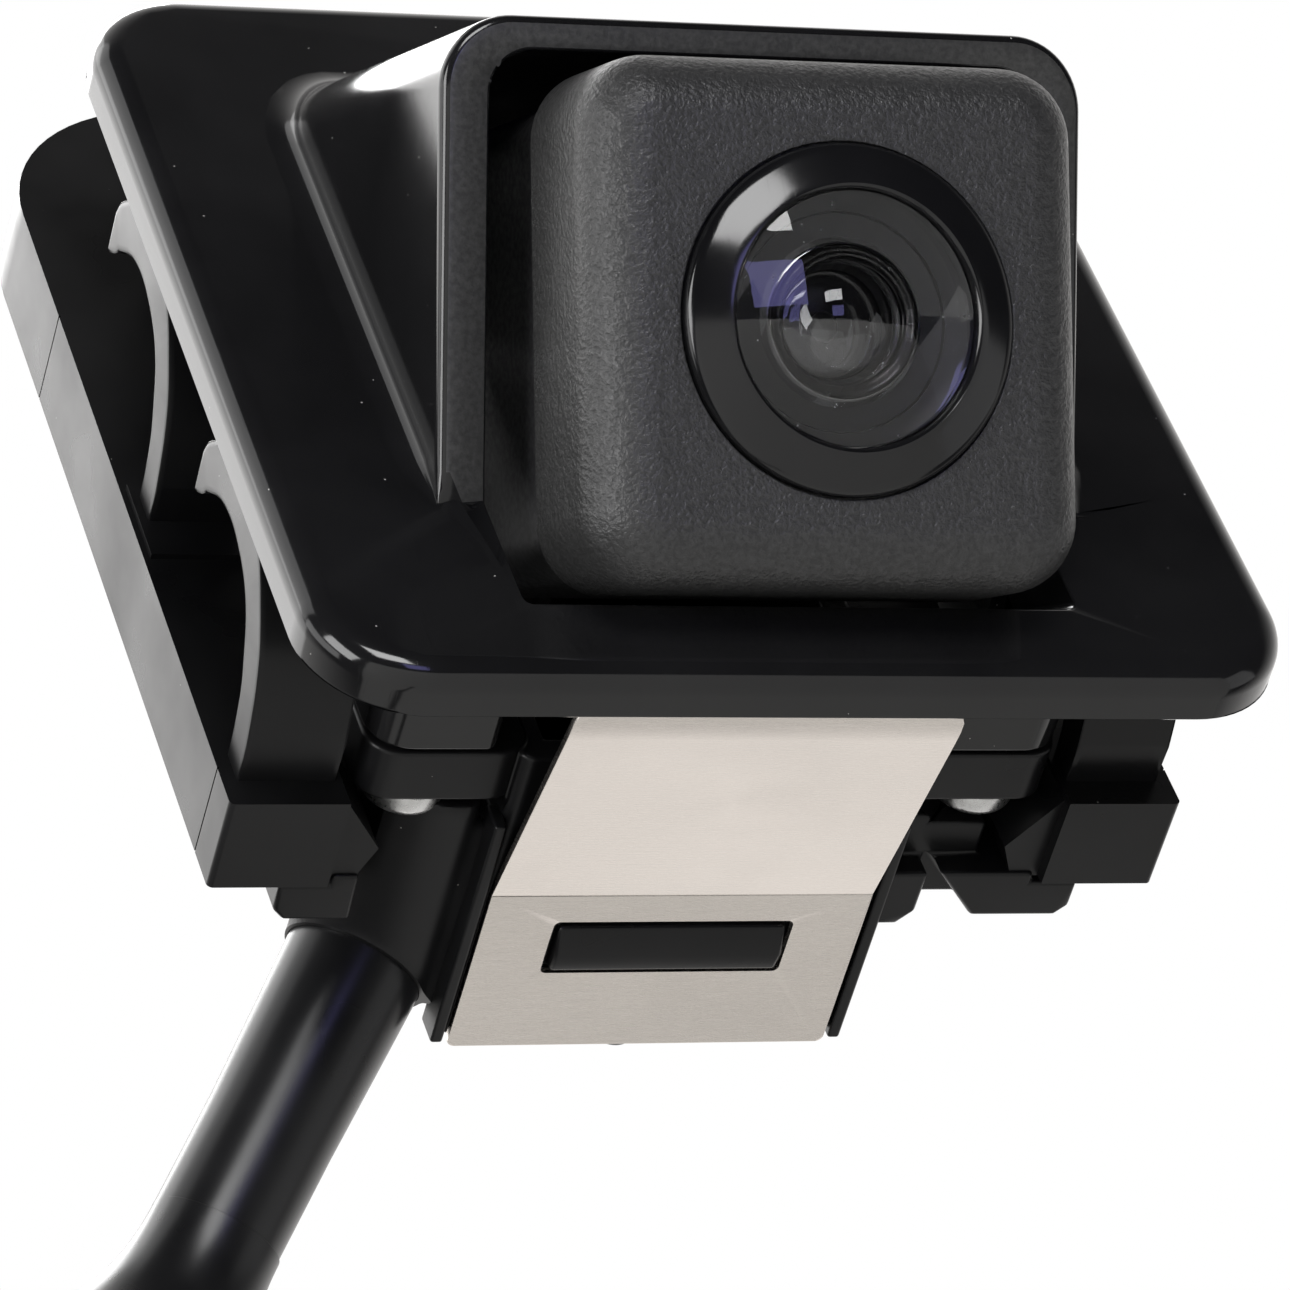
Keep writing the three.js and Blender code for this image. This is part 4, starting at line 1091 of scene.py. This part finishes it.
def make_connector_shell():
    """The connector's housing: neck, mouth, terminal slots, grip grooves and the latch's two cheeks."""
    half_width, half_depth = SHELL_WIDTH / 2, SHELL_DEPTH / 2
    outline = rounded_rectangle((-half_width, half_width), (-half_depth, half_depth), 1.4)
    body = prism(outline, (-SHELL_HEIGHT, -1.5), "Z")
    neck = turned([(4.9, -3), (4.9, 4)], segments=56, axis="Z")
    room_width, room_depth = half_width - SHELL_WALL, half_depth - SHELL_WALL
    room = rounded_rectangle((-room_width, room_width), (-room_depth, room_depth), 0.8)
    mouth = prism(room, (-SHELL_HEIGHT - 1, SHELL_MOUTH - SHELL_HEIGHT), "Z")
    bore = turned([(4.1, -1.5), (4.1, 4.5)], segments=56, axis="Z")
    shell = cut(join(body, neck), mouth, bore)
    for x in TERMINALS:
        shell = cut(shell, block((x - 0.65, x + 0.65), (-0.65, 0.65), (-SHELL_HEIGHT, -1)))
    for side in (-1, 1):
        cheek = block(
            mirrored(side, LATCH_HALF + GAP, LATCH_HALF + 1.6), (half_depth - 0.5, half_depth + 3),
            (LATCH_PIVOT - 2, LATCH_PIVOT + 2))
        shell = join(shell, cheek)
        for level in (-6.5, -5.2, -3.9):
            ends = mirrored(side, half_width - 0.35, half_width + 1)
            shell = cut(shell, block(ends, (-3.4, 3.4), (level, level + 0.6)))
    return moved(soften(shell, 0.3), PLUG)


def make_connector_latch():
    """The latch lever, with a hook at one end and a ribbed press pad at the other."""
    y = SHELL_DEPTH / 2 + 0.5
    pivot = LATCH_PIVOT
    lever = prism([
        (y, pivot - 1), (y + 0.1, pivot + 0.8), (y + 0.9, pivot + 2.2), (y + 1.3, pivot + 7.5),
        (y + 2.6, pivot + 8), (y + 3, pivot + 7), (y + 2, pivot + 1.5), (y + 1.6, pivot - 8),
        (y + 0.9, pivot - 10), (y, pivot - 9.2),
    ], (-LATCH_HALF, LATCH_HALF), "X")
    for level in (3.2, 4.4, 5.6):
        lever = cut(lever, block((-2.6, 2.6), (y + 2.55, y + 4), (pivot + level, pivot + level + 0.5)))
    return moved(soften(lever, 0.2), PLUG)


def make_wire_seal():
    """A soft ring with three ribs round the cable."""
    inner, foot, rib_height = CABLE_RADIUS + 0.1, 3.65, 0.3
    profile = [(inner, -1.3), (foot, -1.3)]
    for rib in range(3):
        for i in range(9):
            angle = math.pi * i / 8
            level = -1.0 + rib * 1.5 + 0.6 * (1 - math.cos(angle))
            profile.append((foot + rib_height * math.sin(angle), level))
    profile += [(foot, 3.6), (inner, 3.6)]
    return moved(turned(profile, segments=56, wrap=True, axis="Z"), PLUG)


# ---------------------------------------------------------------- rounded copies of the CAD's hidden pieces

def copy_of(node, width):
    """A fine copy of a CAD node: its flat facets joined and its edges rounded."""
    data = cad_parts[node].data.copy()
    piece = bpy.data.objects.new(node + "_copy", data)
    bpy.context.scene.collection.objects.link(piece)
    piece.data.transform(Matrix.Scale(1 / MM, 4))
    return soften(piece, width, segments=2)


# ---------------------------------------------------------------- light and stage

def make_area_light(name, toward, distance, size, power, colour=(1, 1, 1), aim=(0, 0, 0)):
    """A soft box in a direction from the object, facing it."""
    data = bpy.data.lights.new(name, "AREA")
    data.shape = "RECTANGLE"
    data.size, data.size_y = size
    data.energy = power
    data.color = colour
    lamp = bpy.data.objects.new(name, data)
    bpy.context.scene.collection.objects.link(lamp)
    aim = Vector(aim)
    lamp.location = aim + Vector(toward).normalized() * distance
    lamp.rotation_euler = (aim - lamp.location).to_track_quat("-Z", "Y").to_euler()
    lamp.visible_camera = False


def make_world():
    """A white studio: bright behind and below the object, dim in front of it and above."""
    world = bpy.data.worlds.new("studio")
    bpy.context.scene.world = world
    world.use_nodes = True
    tree = world.node_tree
    tree.nodes.clear()
    output = tree.nodes.new("ShaderNodeOutputWorld")
    seen = tree.nodes.new("ShaderNodeBackground")
    seen.inputs["Color"].default_value = (1, 1, 1, 1)
    around = tree.nodes.new("ShaderNodeBackground")
    direction = tree.nodes.new("ShaderNodeTexCoord")
    facing = tree.nodes.new("ShaderNodeVectorMath")
    facing.operation = "DOT_PRODUCT"
    facing.inputs[1].default_value = (0.21, 0.79, 0.58)
    link(tree, direction, "Generated", facing, 0)
    fade = remap(tree, facing, "Value", 0.05, 0.62, 0, 1)
    shade = mix_colours(tree, fade, "Result", (0.014, 0.014, 0.015), (1.12, 1.10, 1.08))
    tree.links.new(shade.outputs[2], around.inputs["Color"])
    which = tree.nodes.new("ShaderNodeMixShader")
    ray = tree.nodes.new("ShaderNodeLightPath")
    link(tree, ray, "Is Camera Ray", which, "Fac")
    tree.links.new(around.outputs[0], which.inputs[1])
    tree.links.new(seen.outputs[0], which.inputs[2])
    tree.links.new(which.outputs[0], output.inputs["Surface"])


def make_floor():
    """A plain pale floor a little below the hanging connector."""
    size = 0.3
    height = cad_low.z - 0.02
    mesh = bpy.data.meshes.new("floor")
    mesh.from_pydata(
        [(-size, -size, height), (size, -size, height), (size, size, height), (-size, size, height)], [],
        [(0, 1, 2, 3)])
    floor = bpy.data.objects.new("floor", mesh)
    bpy.context.scene.collection.objects.link(floor)
    material, tree, shader = start_material("floor_paper", (0.5, 0.5, 0.49), 0.7)
    grain = noise(tree, object_coordinates(tree), 900, 3)
    link(tree, bump(tree, grain, "Fac", 2e-5), "Normal", shader, "Normal")
    mesh.materials.append(material)


# ---------------------------------------------------------------- assembly

make_camera()

add_look(gloss_plastic, "plate_gloss", (0.006, 0.006, 0.0064), 0.1)
add_look(gloss_plastic, "frame_plastic", (0.003, 0.003, 0.0034), 0.3, dust=0.02, peel=4e-6, specular=0.3)
add_look(gloss_plastic, "lens_gloss", (0.004, 0.004, 0.0045), 0.13, dust=0.02, peel=6e-6)
add_look(grained_plastic, "module_grain", (0.021, 0.021, 0.021), 0.4, 9e-5, 4200)
add_look(grained_plastic, "hood_rim_grain", (0.026, 0.026, 0.025), 0.38, 2e-5, 3600)
add_look(grained_plastic, "inner_plastic", (0.016, 0.016, 0.017), 0.5, 6e-6, 3000)
add_look(grained_plastic, "connector_plastic", (0.014, 0.014, 0.015), 0.42, 5e-6, 4200)
add_look(brushed_steel, "clip_steel", (0.82, 0.765, 0.715), 0.26, (420, 30000, 3000))
add_look(brushed_steel, "screw_zinc", (0.72, 0.72, 0.71), 0.3, (6000, 6000, 6000), 1.5e-6)
add_look(soft_rubber, "seal_rubber", (0.013, 0.013, 0.014), 0.62)
add_look(soft_rubber, "pad_foam", (0.02, 0.02, 0.021), 0.9, 4e-5, 2200)
add_look(brushed_steel, "lens_metal", (0.018, 0.018, 0.02), 0.35, (5000, 5000, 5000))
add_look(gloss_plastic, "lens_black", (0.003, 0.003, 0.0034), 0.35, dust=0.0, peel=1e-6, specular=0.3)
add_look(coated_glass, "lens_glass", (0.98, 0.985, 1.0))
add_look(gloss_plastic, "board_green", (0.012, 0.11, 0.045), 0.35, dust=0.0)
add_look(gloss_plastic, "sensor_package", (0.05, 0.05, 0.06), 0.3, dust=0.0)
add_look(soft_rubber, "pale_nylon", (0.62, 0.59, 0.50), 0.45, 3e-6)
add_look(brushed_steel, "terminal_brass", (0.78, 0.60, 0.32), 0.26, (3000, 3000, 600))
add_look(soft_rubber, "cable_sleeve", (0.0035, 0.0035, 0.004), 0.3, 1.5e-6, 2400)

# The cord comes first.
centre_line = smooth_route()
cable = place(
    sweep("cable", centre_line, cable_radius), "cable_sleeve", "cable_sleeve", "cable", weighted=False)
grommet = place(make_grommet(), "cable_boot", "cable_sleeve", "cable_grommet", weighted=False)
shell = place(make_connector_shell(), "connector_housing", "connector_plastic", "connector_shell")
latch = place(make_connector_latch(), "latch_lever", "pale_nylon", "connector_latch", body="connector_latch")
wire_seal = place(make_wire_seal(), "ribbed_wire_seal", "seal_rubber", "wire_seal")
lock = place(copy_of("terminal_lock", 0.12), "terminal_lock_plate", "pale_nylon", "terminal_lock")
pins = [
    place(copy_of(f"terminal_{index}", 0.12), f"terminal_pin_{index}", "terminal_brass", f"terminal_{index}")
    for index in range(1, 5)
]
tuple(ROUTE[1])

trim_plate = place(make_trim_plate(), "trim_plate_and_hood", "plate_gloss", "trim_plate")
trim_plate.data.materials.append(LOOKS["hood_rim_grain"])
rim_normal = Vector((0, -math.cos(TILT + RIM_TILT), -math.sin(TILT + RIM_TILT)))
for face in trim_plate.data.polygons:
    if face.normal.dot(rim_normal) > 0.985 and face.center.y < -5 * MM:
        face.material_index = 1
place(make_rear_frame(), "sprung_rear_frame", "frame_plastic", "rear_frame")
place(make_carrier(), "carrier_box", "frame_plastic", "camera_carrier")
place(make_clip_base(), "spring_clip_base", "clip_steel", "clip_base")
place(make_clip_leaf(), "spring_clip_leaf", "clip_steel", "clip_leaf", body="clip_leaf")

for side, word in ((-1, "left"), (1, "right")):
    for level, height in EAR_SCREW_HEIGHTS.items():
        screw = make_screw(side * EAR_SCREW_X, height, EAR_BACK, 1.0, 2.1, 8.5, 1.5)
        place(screw, f"ear_screw_{level}_{word}", "screw_zinc", f"carrier_screw_{level}_{word}")
    screw = make_screw(side * FRAME_SCREW_X, FRAME_SCREW_Z, TAB_BACK, 0.8, 1.9, 6, 1.3)
    place(screw, f"hook_screw_{word}", "screw_zinc", f"frame_screw_{word}")

place(moved(make_front_housing(), OPTICAL), "module_cap", "module_grain", "camera_front_housing")
bezel = moved(make_lens_front_ring(), OPTICAL)
place(bezel, "lens_bezel", "lens_gloss", "lens_front_ring", slot="plate_gloss")
for glass, name, node in (
    (make_front_lens(), "domed_front_lens", "front_lens"),
    (bulged_lens(4.5, 3.4, 4.9, -0.5, 0.2), "inner_lens", "second_lens"),
    (bulged_lens(4.5, 6.5, 8.3, 0.6, 0.6), "back_lens", "rear_lens"),
):
    place(moved(glass, OPTICAL), name, "lens_glass", node, weighted=False)
place(copy_of("camera_rear_housing", 0.3), "module_back", "inner_plastic", "camera_rear_housing")
place(copy_of("module_pad", 0.3), "foam_pad", "pad_foam", "module_pad")

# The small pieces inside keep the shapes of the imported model.
CARRIED = {
    "seal_rubber": ["housing_seal", "lens_seal_ring"],
    "lens_black": ["lens_barrel", "lens_spacer"],
    "lens_metal": ["aperture_stop"],
    "lens_glass": ["infrared_filter"],
    "inner_plastic": ["lens_holder"],
    "sensor_package": ["image_sensor"],
    "board_green": ["sensor_board", "power_board"],
    "pale_nylon": ["board_connector", "wire_header"],
    "screw_zinc": ["board_screw_1", "board_screw_2", *(f"housing_screw_{i}" for i in range(1, 5))],
    "cable_sleeve": ["inner_lead"],
}
for look, nodes in CARRIED.items():
    for node in nodes:
        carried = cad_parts[node]
        carried.data.materials.clear()
        carried.data.materials.append(LOOKS[look])

make_world()
make_floor()
make_area_light("roof_box", (-0.5, 0.36, 0.79), 0.6, (0.45, 0.6), 1.4)
make_area_light("left_roof_box", (-0.62, -0.14, 0.77), 0.6, (0.42, 0.42), 0.7)
make_area_light("corner_box", (0, 0.38, 0.92), 0.6, (0.3, 0.3), 1.6)
make_area_light("left_box", (-0.97, 0.05, 0.1), 0.6, (0.2, 0.5), 0.7)
make_area_light("left_front_box", (-0.9, -0.38, -0.2), 0.6, (0.25, 0.35), 2.1)
make_area_light("right_box", (0.84, -0.24, -0.5), 0.6, (0.4, 0.35), 0.3)
make_area_light("front_box", (-0.16, -0.98, -0.12), 0.7, (0.30, 0.22), 2.2)
make_area_light(
    "blue_card", (-0.08, -0.87, -0.5), 0.12, (0.035, 0.03), 0.010, (0.42, 0.40, 1.0), FACE_CENTRE * MM)

bpy.context.scene.view_settings.view_transform = "Standard"
